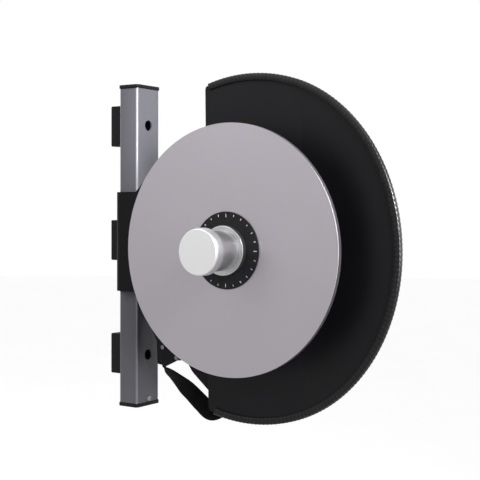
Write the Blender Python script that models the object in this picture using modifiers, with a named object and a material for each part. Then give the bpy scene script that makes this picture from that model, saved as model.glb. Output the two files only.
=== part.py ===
"""A wall-mounted flywheel trainer.

A post stands off the wall on three pads. A sleeve slides on the post and is clamped at a height. It
carries two side plates, and between them a spool on a shaft that turns a flywheel. A bent guard stands
behind the flywheel, and the strap leaves the spool between two guide rollers.

Metres. X points away from the wall, Z up, and the flywheel faces -Y. The origin is the centre of the
middle pad's wall face.
"""

import math

import bmesh
import bpy
import numpy as np
from mathutils import Matrix, Vector

# Clearance between pieces that touch, and the side play of pieces that run past each other
GAP = 0.0003
PLAY = 0.001

# Wall pads
PAD_THICKNESS = 0.024
PAD_WIDTH = 0.034
PAD_HEIGHT = 0.061
PAD_LIP = 0.0035
PAD_LIP_RISE = 0.003
PAD_GROOVE = 0.0015
PAD_CORNER = 0.002
PAD_PITCH = 0.173

# Post, its caps and its fixings
POST_DEPTH = 0.035
POST_WIDTH = 0.053
POST_WALL = 0.003
POST_CORNER = 0.004
POST_ABOVE = 0.228
POST_LENGTH = 0.473
ACCESS_HOLE = 0.016
CAP_HEAD = 0.005
CAP_OVERHANG = 0.0013
CAP_PLUG = 0.012
CAP_EDGE = 0.0012
WALL_BOLT = 0.008
WALL_BOLT_HEAD = 0.0053
WALL_BOLT_ACROSS = 0.0145
STOP_SCREW_HEAD = 0.0095
STOP_SCREW_RISE = 0.0035
STOP_SCREW_SHANK = 0.005
STOP_SCREW_UP = 0.0055

# Sleeve round the post, and its two glides
SLEEVE_LENGTH = 0.149
SLEEVE_DROP = 0.0015
SLEEVE_WALL = 0.003
SLEEVE_FRONT_CORNER = 0.004
SLEEVE_BACK_CORNER = 0.008
GLIDE_THICKNESS = 0.001
GLIDE_RETURN = 0.012
GLIDE_CORNER = 0.0016
GLIDE_SHORTER = 0.004

# Side plates
PLATE = 0.004
PLATE_CORNER = 0.003
PLATE_BACK_INSET = 0.0095
PLATE_HEAD_RADIUS = 0.064
PLATE_SHOULDER = 0.017
PLATE_REACH = 0.02
FAR_DIP = Vector((0.006, 0.109))

# Shaft line
SHAFT_FROM_POST = 0.207
SHAFT_DROP = 0.0072
SHAFT_DIAMETER = 0.025
SHAFT_NOSE = 0.132
SHAFT_TAIL = 0.071

# Bearings and their housings
BEARING_OUTER = 0.052
BEARING_WIDTH = 0.015
BEARING_RING = 0.0037
HOUSING_FLANGE_RADIUS = 0.055
HOUSING_FLANGE = 0.005
HOUSING_BARREL_RADIUS = 0.033
HOUSING_STEP_RADIUS = 0.020
HOUSING_PILOT_RADIUS = 0.027
FRONT_SEAT = 0.055
REAR_SEAT = 0.0435
HOUSING_LIP = 0.003
HOUSING_SCREWS = 3
HOUSING_SCREW_CIRCLE = 0.045
HOUSING_SCREW = 0.006
HOUSING_SCREW_HEAD = 0.010
HOUSING_SCREW_RISE = 0.004

# Flywheel and what clamps it
DISC_DIAMETER = 0.340
DISC_THICKNESS = 0.0072
DISC_EDGE = 0.0005
DISC_BACK = 0.0843
DRIVE_FLANGE_RADIUS = 0.050
DRIVE_FLANGE = 0.008
DRIVE_HUB_RADIUS = 0.0162
DRIVE_PINS = 3
DRIVE_PIN_CIRCLE = 0.040
DRIVE_PIN_DIAMETER = 0.008
HUB_RING_RADIUS = 0.052
HUB_RING = 0.001
COLLAR_RADIUS = 0.03325
COLLAR = 0.013
COLLAR_EDGE = 0.003
CAGE_RADIUS = 0.0166
CAGE_LENGTH = 0.031
BALL_DIAMETER = 0.005
BALL_BACK = 0.0033
BALLS = 3
GROOVE_RADIUS = 0.0113
GRIP_NECK_RADIUS = 0.0268
GRIP_NECK = 0.035
GRIP_LAND = 0.006
GRIP_CAVITY_RADIUS = 0.022
GRIP_HEAD_RADIUS = 0.031
GRIP_HEAD = 0.0157
GRIP_EDGE = 0.002
GRIP_SPIGOT = 0.003
RETAINER_RADIUS = 0.0212
RETAINER = 0.002
KNOB_SPRING_RADIUS = 0.019
KNOB_SPRING_WIRE = 0.0016
KNOB_SPRING_CURLS = 5

# Spool and strap
SPOOL_OFFSET = 0.012
SPOOL_CORE_RADIUS = 0.025
SPOOL_FLANGE_RADIUS = 0.060
SPOOL_FLANGE = 0.0025
SPOOL_TUBE_RADIUS = 0.0162
STRAP_WIDTH = 0.025
STRAP_THICKNESS = 0.002
ROLL_RADIUS = 0.049
SHAFT_NUT_ACROSS = 0.036
SHAFT_NUT = 0.009

# Guard and its edge trim
GUARD_SHEET = 0.0025
GUARD_RADIUS = 0.2385
GUARD_CUT = 0.0704
GUARD_TURN = math.radians(0.92)
GUARD_TOP_CORNER = 0.004
GUARD_BOTTOM_CORNER = 0.008
GUARD_BEND_AT = 0.0863
GUARD_BEND = math.radians(7.4)
TRIM_REACH = 0.003
TRIM_DEPTH = 0.010
TRIM_WIDTH = 0.008
TRIM_CORNER = 0.0018
TRIM_INDENT = 0.003
GUARD_STUD = 0.005
GUARD_NUT_ACROSS = 0.009
GUARD_NUT = 0.004

# Strap guide below the sleeve
GUIDE_FROM_SHAFT = 0.1377
GUIDE_BELOW_SHAFT = 0.1533
GUIDE_SPREAD = 0.0283
GUIDE_TILT = math.radians(62.1)
ROLLER_DIAMETER = 0.010
ROLLER_BORE = 0.0056
AXLE_DIAMETER = 0.005
AXLE_HEAD = 0.0065
AXLE_HEAD_RISE = 0.002

# Bar that joins the plates, with the carabiner parked on it
BAR_BACK_FROM_SHAFT = 0.012
BAR_BELOW_SHAFT = 0.0928
BAR_DIAMETER = 0.010
BAR_SPIGOT = 0.006
CARABINER_WIRE = 0.006
CARABINER_LENGTH = 0.068
CARABINER_WIDTH = 0.040
CARABINER_CORNER = 0.0045
CARABINER_STEM = 0.004
GATE_DIAMETER = 0.0052
GATE_LENGTH = 0.028
EYE_TAIL = 0.028
EYE_SLACK = 0.0007

# Clamp on the far side that holds the sleeve at its height
CLAMP_PAD_RADIUS = 0.010
CLAMP_PAD = 0.003
CLAMP_STUD = 0.008
CLAMP_BOSS_RADIUS = 0.012
CLAMP_BOSS = 0.012
CLAMP_RUN = 0.004
CLAMP_KNOB_RADIUS = 0.021
CLAMP_KNOB_LOBE = 0.002
CLAMP_KNOB_LOBES = 6
CLAMP_KNOB = 0.016

# Facets round a full turn
RIM_STEPS = 88
ROUND_STEPS = 30
SMALL_STEPS = 18
SCREW_STEPS = 12
CORNER_STEPS = 4
LOBE_STEPS = 6
CURL_POINTS = 10

# Places worked out from the sizes above
POST_BACK = PAD_THICKNESS
POST_FRONT = POST_BACK + POST_DEPTH
POST_MIDDLE = POST_BACK + POST_DEPTH / 2
POST_BELOW = POST_LENGTH - POST_ABOVE
GLIDE_SPACE = GLIDE_THICKNESS + 2 * GAP
SLEEVE_FRONT = POST_FRONT + GLIDE_SPACE + SLEEVE_WALL
SLEEVE_BACK = POST_BACK - GLIDE_SPACE - SLEEVE_WALL
SLEEVE_SIDE = POST_WIDTH / 2 + GLIDE_SPACE + SLEEVE_WALL
SLEEVE_TOP = SLEEVE_LENGTH / 2 - SLEEVE_DROP
SLEEVE_BOTTOM = -SLEEVE_LENGTH / 2 - SLEEVE_DROP
PLATE_INNER = SLEEVE_SIDE + GAP
PLATE_OUTER = PLATE_INNER + PLATE
SHAFT_X = POST_FRONT + SHAFT_FROM_POST
SHAFT_Z = -SHAFT_DROP
SHAFT_RADIUS = SHAFT_DIAMETER / 2
SHAFT_BORE = SHAFT_RADIUS + GAP
GUARD_BACK = PLATE_OUTER + GAP
GUARD_FRONT = GUARD_BACK + GUARD_SHEET
DISC_FRONT = DISC_BACK + DISC_THICKNESS
DRIVE_FRONT = DISC_BACK - GAP
DRIVE_BACK = DRIVE_FRONT - DRIVE_FLANGE
RING_BACK = DISC_FRONT + GAP
COLLAR_BACK = RING_BACK + HUB_RING + GAP
COLLAR_FRONT = COLLAR_BACK + COLLAR
GRIP_BACK = COLLAR_FRONT + GAP
GRIP_FRONT = GRIP_BACK + GRIP_NECK
HEAD_BACK = GRIP_FRONT + GAP
CAGE_FRONT = COLLAR_FRONT + CAGE_LENGTH
RETAINER_FRONT = CAGE_FRONT - PLAY
RETAINER_BACK = RETAINER_FRONT - RETAINER
BALL_AT = COLLAR_FRONT + BALL_BACK
GUIDE = Vector((SHAFT_X - GUIDE_FROM_SHAFT, SHAFT_Z - GUIDE_BELOW_SHAFT))
GUIDE_ACROSS = Vector((-math.sin(GUIDE_TILT), math.cos(GUIDE_TILT)))
UPPER_AXLE = GUIDE + GUIDE_ACROSS * GUIDE_SPREAD / 2
LOWER_AXLE = GUIDE - GUIDE_ACROSS * GUIDE_SPREAD / 2
BAR_X = SHAFT_X - BAR_BACK_FROM_SHAFT
BAR_Z = SHAFT_Z - BAR_BELOW_SHAFT
GUARD_CUT_X = SHAFT_X - GUARD_CUT
GUARD_HALF_CHORD = math.sqrt(GUARD_RADIUS**2 - GUARD_CUT**2)
GUARD_CORNER = Vector((-GUARD_CUT, -GUARD_HALF_CHORD))
GUARD_FOOT = Vector((SHAFT_X, SHAFT_Z)) + Matrix.Rotation(GUARD_TURN, 2) @ GUARD_CORNER
STUD_AT = GUARD_FOOT + PLATE_REACH * Vector((0.835, 1.51))
CLAMP_Z = (SLEEVE_TOP + SLEEVE_BOTTOM) / 2

TOWARDS_FLYWHEEL = (math.pi / 2, 0, 0)
TOWARDS_FAR_SIDE = (-math.pi / 2, 0, 0)
AWAY_FROM_WALL = (0, math.pi / 2, 0)
UPRIGHT = (0, 0, 0)


# Materials

def finish(name, colour, roughness, metallic):
    """A material of one colour, as linear red, green and blue."""
    made = bpy.data.materials.new(name)
    made.use_nodes = True
    shader = made.node_tree.nodes["Principled BSDF"]
    shader.inputs["Base Color"].default_value = (*colour, 1)
    shader.inputs["Roughness"].default_value = roughness
    shader.inputs["Metallic"].default_value = metallic
    return made


# Objects and the collections that hold them

def clear_scene():
    for leftover in list(bpy.data.objects):
        bpy.data.objects.remove(leftover)


def place(name, data, looks, location, rotation, parent, as_cutter=False):
    """Puts an object in the trainer's collection, or in that of the cutters."""
    made = bpy.data.objects.new(name, data)
    made.location = location
    made.rotation_euler = rotation
    made.parent = parent
    if as_cutter:
        made.hide_render = True
        made.display_type = "WIRE"
        bpy.data.collections["cutters"].objects.link(made)
        return made
    data.materials.append(looks)
    bpy.data.collections["flywheel_trainer"].objects.link(made)
    return made


def empty(name, location, parent=None):
    made = bpy.data.objects.new(name, None)
    made.location = location
    made.parent = parent
    bpy.data.collections["flywheel_trainer"].objects.link(made)
    return made


# Shapes

def turned(name, profile, looks, location, rotation, parent, steps=ROUND_STEPS, closed=False,
           as_cutter=False):
    """A solid of revolution about its own Z. The profile is (radius, height), top first, down its
    outer side. A closed profile goes back up its inner side and makes a ring."""
    mesh = bpy.data.meshes.new(name)
    build = bmesh.new()
    rim = [build.verts.new((radius, 0, height)) for radius, height in profile]
    for first, second in zip(rim, rim[1:]):
        build.edges.new((first, second))
    if closed:
        build.edges.new((rim[-1], rim[0]))
    build.to_mesh(mesh)
    build.free()
    made = place(name, mesh, looks, location, rotation, parent, as_cutter)
    screw = made.modifiers.new("turn", "SCREW")
    screw.steps = steps
    screw.render_steps = steps
    screw.use_merge_vertices = True
    screw.merge_threshold = 0.00001
    screw.use_smooth_shade = True
    return made


def cylinder(name, radius, bottom, top, looks, location, rotation, parent, steps=SMALL_STEPS,
             edge=0.0, as_cutter=False):
    """A turned bar from bottom to top along its own Z, with its ends chamfered by edge."""
    profile = [(0, top), (radius, top), (radius, bottom), (0, bottom)]
    if edge:
        profile[1:3] = [(radius - edge, top), (radius, top - edge),
                        (radius, bottom + edge), (radius - edge, bottom)]
    return turned(name, profile, looks, location, rotation, parent, steps, as_cutter=as_cutter)


def ring(name, outer, inner, bottom, top, looks, location, rotation, parent, steps=ROUND_STEPS):
    profile = [(outer, top), (outer, bottom), (inner, bottom), (inner, top)]
    return turned(name, profile, looks, location, rotation, parent, steps, closed=True)


def arc(centre, radius, start, end, count):
    """Points on an arc, from the angle start to the angle end."""
    for step in range(count + 1):
        angle = start + (end - start) * step / count
        yield (centre[0] + radius * math.cos(angle), centre[1] + radius * math.sin(angle), 0)


def rounded(corners):
    """The outline through corners (x, y, radius), with an arc at each corner that has a radius."""
    points = []
    for index, (x, y, radius) in enumerate(corners):
        corner = Vector((x, y))
        if not radius:
            points.append(corner)
            continue
        before = (Vector(corners[index - 1][:2]) - corner).normalized()
        after = (Vector(corners[(index + 1) % len(corners)][:2]) - corner).normalized()
        half = before.angle(after) / 2
        start = corner + before * radius / math.tan(half)
        centre = corner + (before + after).normalized() * radius / math.sin(half)
        turn = math.copysign(math.pi - 2 * half, -before.cross(after))
        for step in range(CORNER_STEPS + 1):
            spoke = Matrix.Rotation(turn * step / CORNER_STEPS, 2) @ (start - centre)
            points.append(centre + spoke)
    return points


def extruded(name, outlines, thickness, looks, location, rotation, parent, as_cutter=False):
    """A flat outline, with any inner outlines as holes, of a thickness centred on its own plane."""
    curve = bpy.data.curves.new(name, "CURVE")
    curve.dimensions = "2D"
    curve.fill_mode = "BOTH"
    curve.extrude = thickness / 2
    for outline in outlines:
        spline = curve.splines.new("POLY")
        spline.points.add(len(outline) - 1)
        spline.use_cyclic_u = True
        for point, where in zip(spline.points, outline):
            point.co = (where[0], where[1], 0, 1)
    return as_mesh(place(name, curve, looks, location, rotation, parent, as_cutter))


def as_mesh(curve_object):
    """Turns a curve object into a mesh object with welded caps."""
    name = curve_object.name
    holders = list(curve_object.users_collection)
    bpy.context.view_layer.update()
    graph = bpy.context.evaluated_depsgraph_get()
    mesh = bpy.data.meshes.new_from_object(curve_object.evaluated_get(graph))
    weld = bmesh.new()
    weld.from_mesh(mesh)
    bmesh.ops.remove_doubles(weld, verts=weld.verts, dist=0.00001)
    weld.to_mesh(mesh)
    weld.free()
    made = bpy.data.objects.new(name + "_mesh", mesh)
    made.matrix_world = curve_object.matrix_world.copy()
    made.hide_render = curve_object.hide_render
    made.display_type = curve_object.display_type
    for holder in holders:
        holder.objects.link(made)
    bpy.data.objects.remove(curve_object)
    made.name = name
    return made


def wire(name, points, diameter, looks, resolution=1):
    """A round bar bent through points given in world space."""
    curve = bpy.data.curves.new(name, "CURVE")
    curve.dimensions = "3D"
    curve.bevel_depth = diameter / 2
    curve.bevel_resolution = resolution
    curve.use_fill_caps = True
    spline = curve.splines.new("POLY")
    spline.points.add(len(points) - 1)
    for point, where in zip(spline.points, points):
        point.co = (*where, 1)
    return place(name, curve, looks, (0, 0, 0), UPRIGHT, None)


def combine(target, other, operation="DIFFERENCE"):
    change = target.modifiers.new(other.name, "BOOLEAN")
    change.operation = operation
    change.object = other
    change.solver = "EXACT"


def drill(target, name, radius, location, rotation, reach, parent=None, steps=SMALL_STEPS):
    """Cuts a round hole that runs reach to either side of location."""
    combine(target, cylinder(name, radius, -reach, reach, None, location, rotation, parent, steps,
                             as_cutter=True))


def smooth_shaded(made, angle=math.radians(35)):
    made.data.shade_smooth()
    made.data.set_sharp_from_angle(angle=angle)


# Wall pads: moulded spacers with a flared lip against the post

def wall_pads(looks):
    half = PAD_HEIGHT / 2
    lip = half + PAD_LIP_RISE
    start = PAD_THICKNESS - 2 * PAD_LIP
    upper = [
        (start, half, 0),
        (start + PAD_GROOVE, half - PAD_GROOVE, 0),
        (PAD_THICKNESS - PAD_LIP / 2, lip, 0),
        (PAD_THICKNESS - GAP, lip, 0),
    ]
    outline = [(0, half, PAD_CORNER), *upper]
    outline += [(x, -z, 0) for x, z, _ in reversed(upper)] + [(0, -half, PAD_CORNER)]
    for place_name, place_z in (("top", PAD_PITCH), ("middle", 0), ("bottom", -PAD_PITCH)):
        name = "wall_pad_" + place_name
        pad = extruded(name, [rounded(outline)], PAD_WIDTH, looks, (0, 0, place_z), TOWARDS_FLYWHEEL, None)
        if place_z:
            drill(pad, name + "_hole", WALL_BOLT / 2 + GAP, (PAD_THICKNESS / 2, 0, place_z),
                  AWAY_FROM_WALL, PAD_THICKNESS)


# Post: a rectangular tube with an access hole in front of each wall bolt, and a plug in each end

def rectangle(depth, width, corner):
    half_x = depth / 2
    half_y = width / 2
    return rounded([(half_x, half_y, corner), (-half_x, half_y, corner),
                    (-half_x, -half_y, corner), (half_x, -half_y, corner)])


def post(looks):
    outer = rectangle(POST_DEPTH, POST_WIDTH, POST_CORNER)
    inner = rectangle(POST_DEPTH - 2 * POST_WALL, POST_WIDTH - 2 * POST_WALL, POST_CORNER - POST_WALL)
    middle = POST_ABOVE - POST_LENGTH / 2
    tube = extruded("post_tube", [outer, inner], POST_LENGTH, looks, (POST_MIDDLE, 0, middle), UPRIGHT, None)
    for end, place_z in (("top", PAD_PITCH), ("bottom", -PAD_PITCH)):
        drill(tube, "access_hole_" + end, ACCESS_HOLE / 2, (POST_FRONT, 0, place_z),
              AWAY_FROM_WALL, 2 * POST_WALL)
        drill(tube, "bolt_hole_" + end, WALL_BOLT / 2 + GAP, (POST_BACK, 0, place_z),
              AWAY_FROM_WALL, 2 * POST_WALL)
    drill(tube, "stop_screw_hole", STOP_SCREW_SHANK / 2 + GAP,
          (POST_FRONT, 0, STOP_SCREW_UP - POST_BELOW), AWAY_FROM_WALL, 2 * POST_WALL)
    smooth_shaded(tube)


def end_caps(looks):
    head = rectangle(POST_DEPTH + 2 * CAP_OVERHANG, POST_WIDTH + 2 * CAP_OVERHANG, POST_CORNER + CAP_OVERHANG)
    hollow = 2 * (POST_WALL + GAP)
    plug = rectangle(POST_DEPTH - hollow, POST_WIDTH - hollow, POST_CORNER - POST_WALL)
    bore = rectangle(POST_DEPTH - 2 * hollow, POST_WIDTH - 2 * hollow, POST_CORNER - POST_WALL)
    for name, end, sign in (("top_cap", POST_ABOVE, 1), ("bottom_cap", -POST_BELOW, -1)):
        head_z = end + sign * (GAP + CAP_HEAD / 2)
        cap = extruded(name, [head], CAP_HEAD, looks, (POST_MIDDLE, 0, head_z), UPRIGHT, None)
        edge = cap.modifiers.new("edge", "BEVEL")
        edge.width = CAP_EDGE
        edge.segments = 2
        edge.limit_method = "ANGLE"
        skirt = extruded(name + "_skirt", [plug, bore], CAP_PLUG + CAP_HEAD,
                         looks, (POST_MIDDLE, 0, end + sign * (CAP_EDGE - CAP_PLUG / 2 - GAP)), UPRIGHT, None,
                         as_cutter=True)
        combine(cap, skirt, "UNION")
        if sign < 0:
            drill(cap, "cap_screw_hole", STOP_SCREW_SHANK / 2 + GAP,
                  (POST_FRONT - POST_WALL, 0, STOP_SCREW_UP - POST_BELOW), AWAY_FROM_WALL, 2 * POST_WALL)


def post_fixings(steel, bright):
    """The bolts into the wall, seen through the access holes, and the screw that holds the bottom cap."""
    seat = POST_BACK + POST_WALL + GAP
    for end, place_z in (("top", PAD_PITCH), ("bottom", -PAD_PITCH)):
        bolt = cylinder("wall_bolt_" + end, WALL_BOLT / 2, PLAY, seat + WALL_BOLT_HEAD / 2, steel,
                        (0, 0, place_z), AWAY_FROM_WALL, None, SCREW_STEPS)
        mesh = bpy.data.meshes.new("hexagon")
        build = bmesh.new()
        bmesh.ops.create_cone(build, cap_ends=True, segments=6, radius1=WALL_BOLT_ACROSS / 2,
                              radius2=WALL_BOLT_ACROSS / 2, depth=WALL_BOLT_HEAD)
        build.to_mesh(mesh)
        build.free()
        head = place("wall_bolt_head_" + end, mesh, None, (seat + WALL_BOLT_HEAD / 2, 0, place_z),
                     AWAY_FROM_WALL, None, as_cutter=True)
        combine(bolt, head, "UNION")
    shank = STOP_SCREW_SHANK / 2
    head = STOP_SCREW_HEAD / 2
    profile = [
        (0, STOP_SCREW_RISE),
        (head / 2, STOP_SCREW_RISE * 0.93),
        (head * 0.85, STOP_SCREW_RISE * 0.65),
        (head, GAP),
        (shank, GAP),
        (shank, -2 * POST_WALL),
        (0, -2 * POST_WALL),
    ]
    turned("stop_screw", profile, bright, (POST_FRONT, 0, STOP_SCREW_UP - POST_BELOW), AWAY_FROM_WALL, None,
           SMALL_STEPS)


# Sleeve: a channel round the post whose back edges reach behind it on both sides of the pads

def sleeve(looks):
    side = SLEEVE_SIDE
    lip = PAD_WIDTH / 2 + 2 * PLAY
    inner_side = side - SLEEVE_WALL
    inner_front = SLEEVE_FRONT - SLEEVE_WALL
    inner_back = SLEEVE_BACK + SLEEVE_WALL
    inner_back_corner = SLEEVE_BACK_CORNER - SLEEVE_WALL
    inner_front_corner = SLEEVE_FRONT_CORNER - SLEEVE_WALL
    half = [
        (SLEEVE_BACK, lip, PLAY),
        (SLEEVE_BACK, side, SLEEVE_BACK_CORNER),
        (SLEEVE_FRONT, side, SLEEVE_FRONT_CORNER),
    ]
    inner = [
        (inner_front, inner_side, inner_front_corner),
        (inner_back, inner_side, min(inner_back_corner, POST_CORNER)),
        (inner_back, lip, 0),
    ]
    outline = half + [(x, -y, radius) for x, y, radius in reversed(half)]
    outline += [(x, -y, radius) for x, y, radius in reversed(inner)] + inner
    made = extruded("sleeve", [rounded(outline)], SLEEVE_LENGTH, looks, (0, 0, CLAMP_Z), UPRIGHT, None)
    drill(made, "sleeve_clamp_hole", CLAMP_PAD_RADIUS + PLAY, (POST_MIDDLE, SLEEVE_SIDE, CLAMP_Z),
          TOWARDS_FAR_SIDE, 2 * SLEEVE_WALL)
    smooth_shaded(made)


def glides(looks):
    """Two plastic channels between the sleeve and the post's sides."""
    inner = POST_WIDTH / 2 + GAP
    outer = inner + GLIDE_THICKNESS
    returned = POST_WIDTH / 2 - GLIDE_RETURN / 2
    front = POST_FRONT + GAP
    back = POST_BACK - GAP
    for name, sign in (("glide_near", -1), ("glide_far", 1)):
        outline = [
            (back, returned, 0), (back, inner, POST_CORNER / 2),
            (front, inner, POST_CORNER / 2), (front, returned - GLIDE_RETURN / 2, 0),
            (front + GLIDE_THICKNESS, returned - GLIDE_RETURN / 2, 0),
            (front + GLIDE_THICKNESS, outer, GLIDE_CORNER),
            (back - GLIDE_THICKNESS, outer, POST_CORNER - PLAY),
            (back - GLIDE_THICKNESS, returned, 0),
        ]
        section = [(x, sign * y, radius) for x, y, radius in outline]
        glide = extruded(name, [rounded(section)], SLEEVE_LENGTH - GLIDE_SHORTER, looks,
                         (0, 0, CLAMP_Z), UPRIGHT, None)
        if sign > 0:
            drill(glide, "glide_clamp_hole", CLAMP_PAD_RADIUS + PLAY, (POST_MIDDLE, outer, CLAMP_Z),
                  TOWARDS_FAR_SIDE, 4 * GLIDE_THICKNESS)


# Side plates: both wrap the sleeve, swell round the shaft and reach down to the strap guide

def plate_outline(lower):
    """The outline of a side plate in X and Z. The lower points run from the head's end back to the
    guide's left edge."""
    back = SLEEVE_BACK + PLATE_BACK_INSET + SLEEVE_WALL
    head = arc((SHAFT_X, SHAFT_Z), PLATE_HEAD_RADIUS, math.radians(105), math.radians(-60), 14)
    return rounded([
        (back, SLEEVE_BOTTOM, PLATE_CORNER),
        (SLEEVE_FRONT + PLATE_CORNER, SLEEVE_BOTTOM, PLATE_CORNER),
        *reversed(lower),
        *reversed(list(head)),
        (SLEEVE_FRONT + PLATE_SHOULDER, SLEEVE_TOP + PLATE_SHOULDER, PLATE_SHOULDER / 2),
        (SLEEVE_FRONT, SLEEVE_TOP, 0),
        (back, SLEEVE_TOP, PLATE_CORNER),
    ])


def from_guide(x, z, radius):
    """A corner beside the strap guide, in shares of PLATE_REACH."""
    return (GUIDE.x + PLATE_REACH * x, GUIDE.y + PLATE_REACH * z, radius)


def from_foot(x, z, radius):
    """A corner beside the guard's foot, in shares of PLATE_REACH."""
    return (GUARD_FOOT.x + PLATE_REACH * x, GUARD_FOOT.y + PLATE_REACH * z, radius)


def drill_plate(plate, name, y):
    """The holes that both plates have, through the plate at y."""
    through = 2 * PLATE
    rotation = TOWARDS_FLYWHEEL
    drill(plate, name + "_pilot_hole", HOUSING_PILOT_RADIUS + GAP, (SHAFT_X, y, SHAFT_Z), rotation, through,
          steps=ROUND_STEPS)
    for number, (x, z) in enumerate(housing_screw_places()):
        drill(plate, f"{name}_screw_hole_{number}", HOUSING_SCREW / 2 + GAP, (SHAFT_X + x, y, SHAFT_Z + z),
              rotation, through, steps=SCREW_STEPS)
    drill(plate, name + "_bar_hole", BAR_SPIGOT / 2 + GAP, (BAR_X, y, BAR_Z), rotation, through,
          steps=SCREW_STEPS)
    for end, axle in (("upper", UPPER_AXLE), ("lower", LOWER_AXLE)):
        drill(plate, f"{name}_{end}_axle_hole", AXLE_DIAMETER / 2 + GAP, (axle.x, y, axle.y), rotation,
              through, steps=SCREW_STEPS)


def housing_screw_places():
    for number in range(HOUSING_SCREWS):
        angle = math.radians(90) + 2 * math.pi * number / HOUSING_SCREWS
        yield HOUSING_SCREW_CIRCLE * math.cos(angle), HOUSING_SCREW_CIRCLE * math.sin(angle)


def near_plate(looks):
    """The plate on the flywheel's side. It has a foot that holds the guard's lower corner."""
    lower = [
        from_foot(1.335, 0.71, PLATE_CORNER),
        from_foot(0.485, 0.51, PLATE_CORNER),
        from_foot(0.065, 1.21, 0),
        from_foot(-1.375, 2.41, PLATE_CORNER / 2),
        from_foot(-1.565, 2.61, 0),
        from_guide(1.31, -0.175, 0),
        from_guide(0.935, -0.385, 0),
        from_guide(-0.365, -1.025, 0),
        from_guide(-1.175, -0.925, PLATE_CORNER),
        from_guide(-1.225, 0.725, PLATE_CORNER),
    ]
    middle = -(PLATE_INNER + PLATE_OUTER) / 2
    plate = extruded("near_plate", [plate_outline(lower)], PLATE, looks, (0, middle, 0),
                     TOWARDS_FLYWHEEL, None)
    drill_plate(plate, "near", middle)
    drill(plate, "guard_stud_hole", GUARD_STUD / 2 + GAP, (STUD_AT.x, middle, STUD_AT.y), TOWARDS_FLYWHEEL,
          2 * PLATE, steps=SCREW_STEPS)


def far_plate(looks):
    """The plate behind the strap. It ends in a deeper lobe, and the clamp goes through it."""
    lower = [
        (SHAFT_X + FAR_DIP.x, SHAFT_Z - FAR_DIP.y, PLATE_CORNER),
        from_guide(1.285, -0.475, PLATE_CORNER),
        from_guide(1.135, -1.925, PLATE_CORNER),
        from_guide(-0.465, -1.875, PLATE_CORNER),
        from_guide(-0.815, -1.375, PLATE_CORNER),
        from_guide(-1.015, 0.725, PLATE_CORNER),
    ]
    middle = (PLATE_INNER + PLATE_OUTER) / 2
    plate = extruded("far_plate", [plate_outline(lower)], PLATE, looks, (0, middle, 0),
                     TOWARDS_FLYWHEEL, None)
    drill_plate(plate, "far", middle)
    drill(plate, "plate_clamp_hole", CLAMP_STUD / 2 + GAP, (POST_MIDDLE, middle, CLAMP_Z), TOWARDS_FLYWHEEL,
          2 * PLATE, steps=SCREW_STEPS)


# Housings and bearings: the front pair carries the flywheel, the rear pair the shaft's tail

def housing(name, looks, flange_back, seat, rotation, line):
    """A flanged housing whose pilot goes back through the plate. Heights run outwards."""
    flange_front = flange_back + HOUSING_FLANGE
    seat_radius = BEARING_OUTER / 2 + GAP
    seat_back = seat - GAP
    mouth = seat + BEARING_WIDTH + HOUSING_LIP
    profile = [
        (HOUSING_BARREL_RADIUS - PLAY, mouth),
        (HOUSING_BARREL_RADIUS, mouth - PLAY),
        (HOUSING_BARREL_RADIUS, flange_front),
        (HOUSING_FLANGE_RADIUS - PLAY, flange_front),
        (HOUSING_FLANGE_RADIUS, flange_front - PLAY),
        (HOUSING_FLANGE_RADIUS, flange_back),
        (HOUSING_PILOT_RADIUS, flange_back),
        (HOUSING_PILOT_RADIUS, PLATE_INNER),
        (HOUSING_STEP_RADIUS, PLATE_INNER),
        (HOUSING_STEP_RADIUS, seat_back),
        (seat_radius, seat_back),
        (seat_radius, mouth),
    ]
    made = turned(name, profile, looks, (0, 0, 0), rotation, line, closed=True)
    sign = -1 if rotation == TOWARDS_FLYWHEEL else 1
    middle = sign * (flange_back + flange_front) / 2
    for number, (x, z) in enumerate(housing_screw_places()):
        drill(made, f"{name}_hole_{number}", HOUSING_SCREW / 2 + GAP, (x, middle, z), rotation,
              HOUSING_FLANGE, line, SCREW_STEPS)


def housing_screws(name, looks, flange_front, rotation, line):
    shank = HOUSING_SCREW / 2
    head = HOUSING_SCREW_HEAD / 2
    seat = flange_front + GAP
    top = seat + HOUSING_SCREW_RISE
    profile = [(0, top), (head - PLAY, top), (head, top - PLAY), (head, seat),
               (shank, seat), (shank, PLATE_INNER), (0, PLATE_INNER)]
    for number, (x, z) in enumerate(housing_screw_places()):
        turned(f"{name}_{number + 1}", profile, looks, (x, 0, z), rotation, line, SCREW_STEPS)


def bearing(name, looks, seat, rotation, carriage_line, shaft_line):
    """The outer ring with its shields, and the inner ring that turns with the shaft."""
    outer = BEARING_OUTER / 2
    inner_ring = SHAFT_BORE + BEARING_RING
    front = seat + BEARING_WIDTH
    shield = 3 * GAP
    lip = inner_ring + 2 * GAP
    ring_inner = outer - BEARING_RING
    profile = [
        (outer, front), (outer, seat), (lip, seat), (lip, seat + shield), (ring_inner, seat + shield),
        (ring_inner, front - shield), (lip, front - shield), (lip, front),
    ]
    turned(name + "_outer", profile, looks, (0, 0, 0), rotation, carriage_line, closed=True)
    ring(name + "_inner", inner_ring, SHAFT_BORE, seat, front, looks, (0, 0, 0), rotation, shaft_line)


# Shaft line: shaft, drive flange with its pins, flywheel, hub ring and spool

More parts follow.
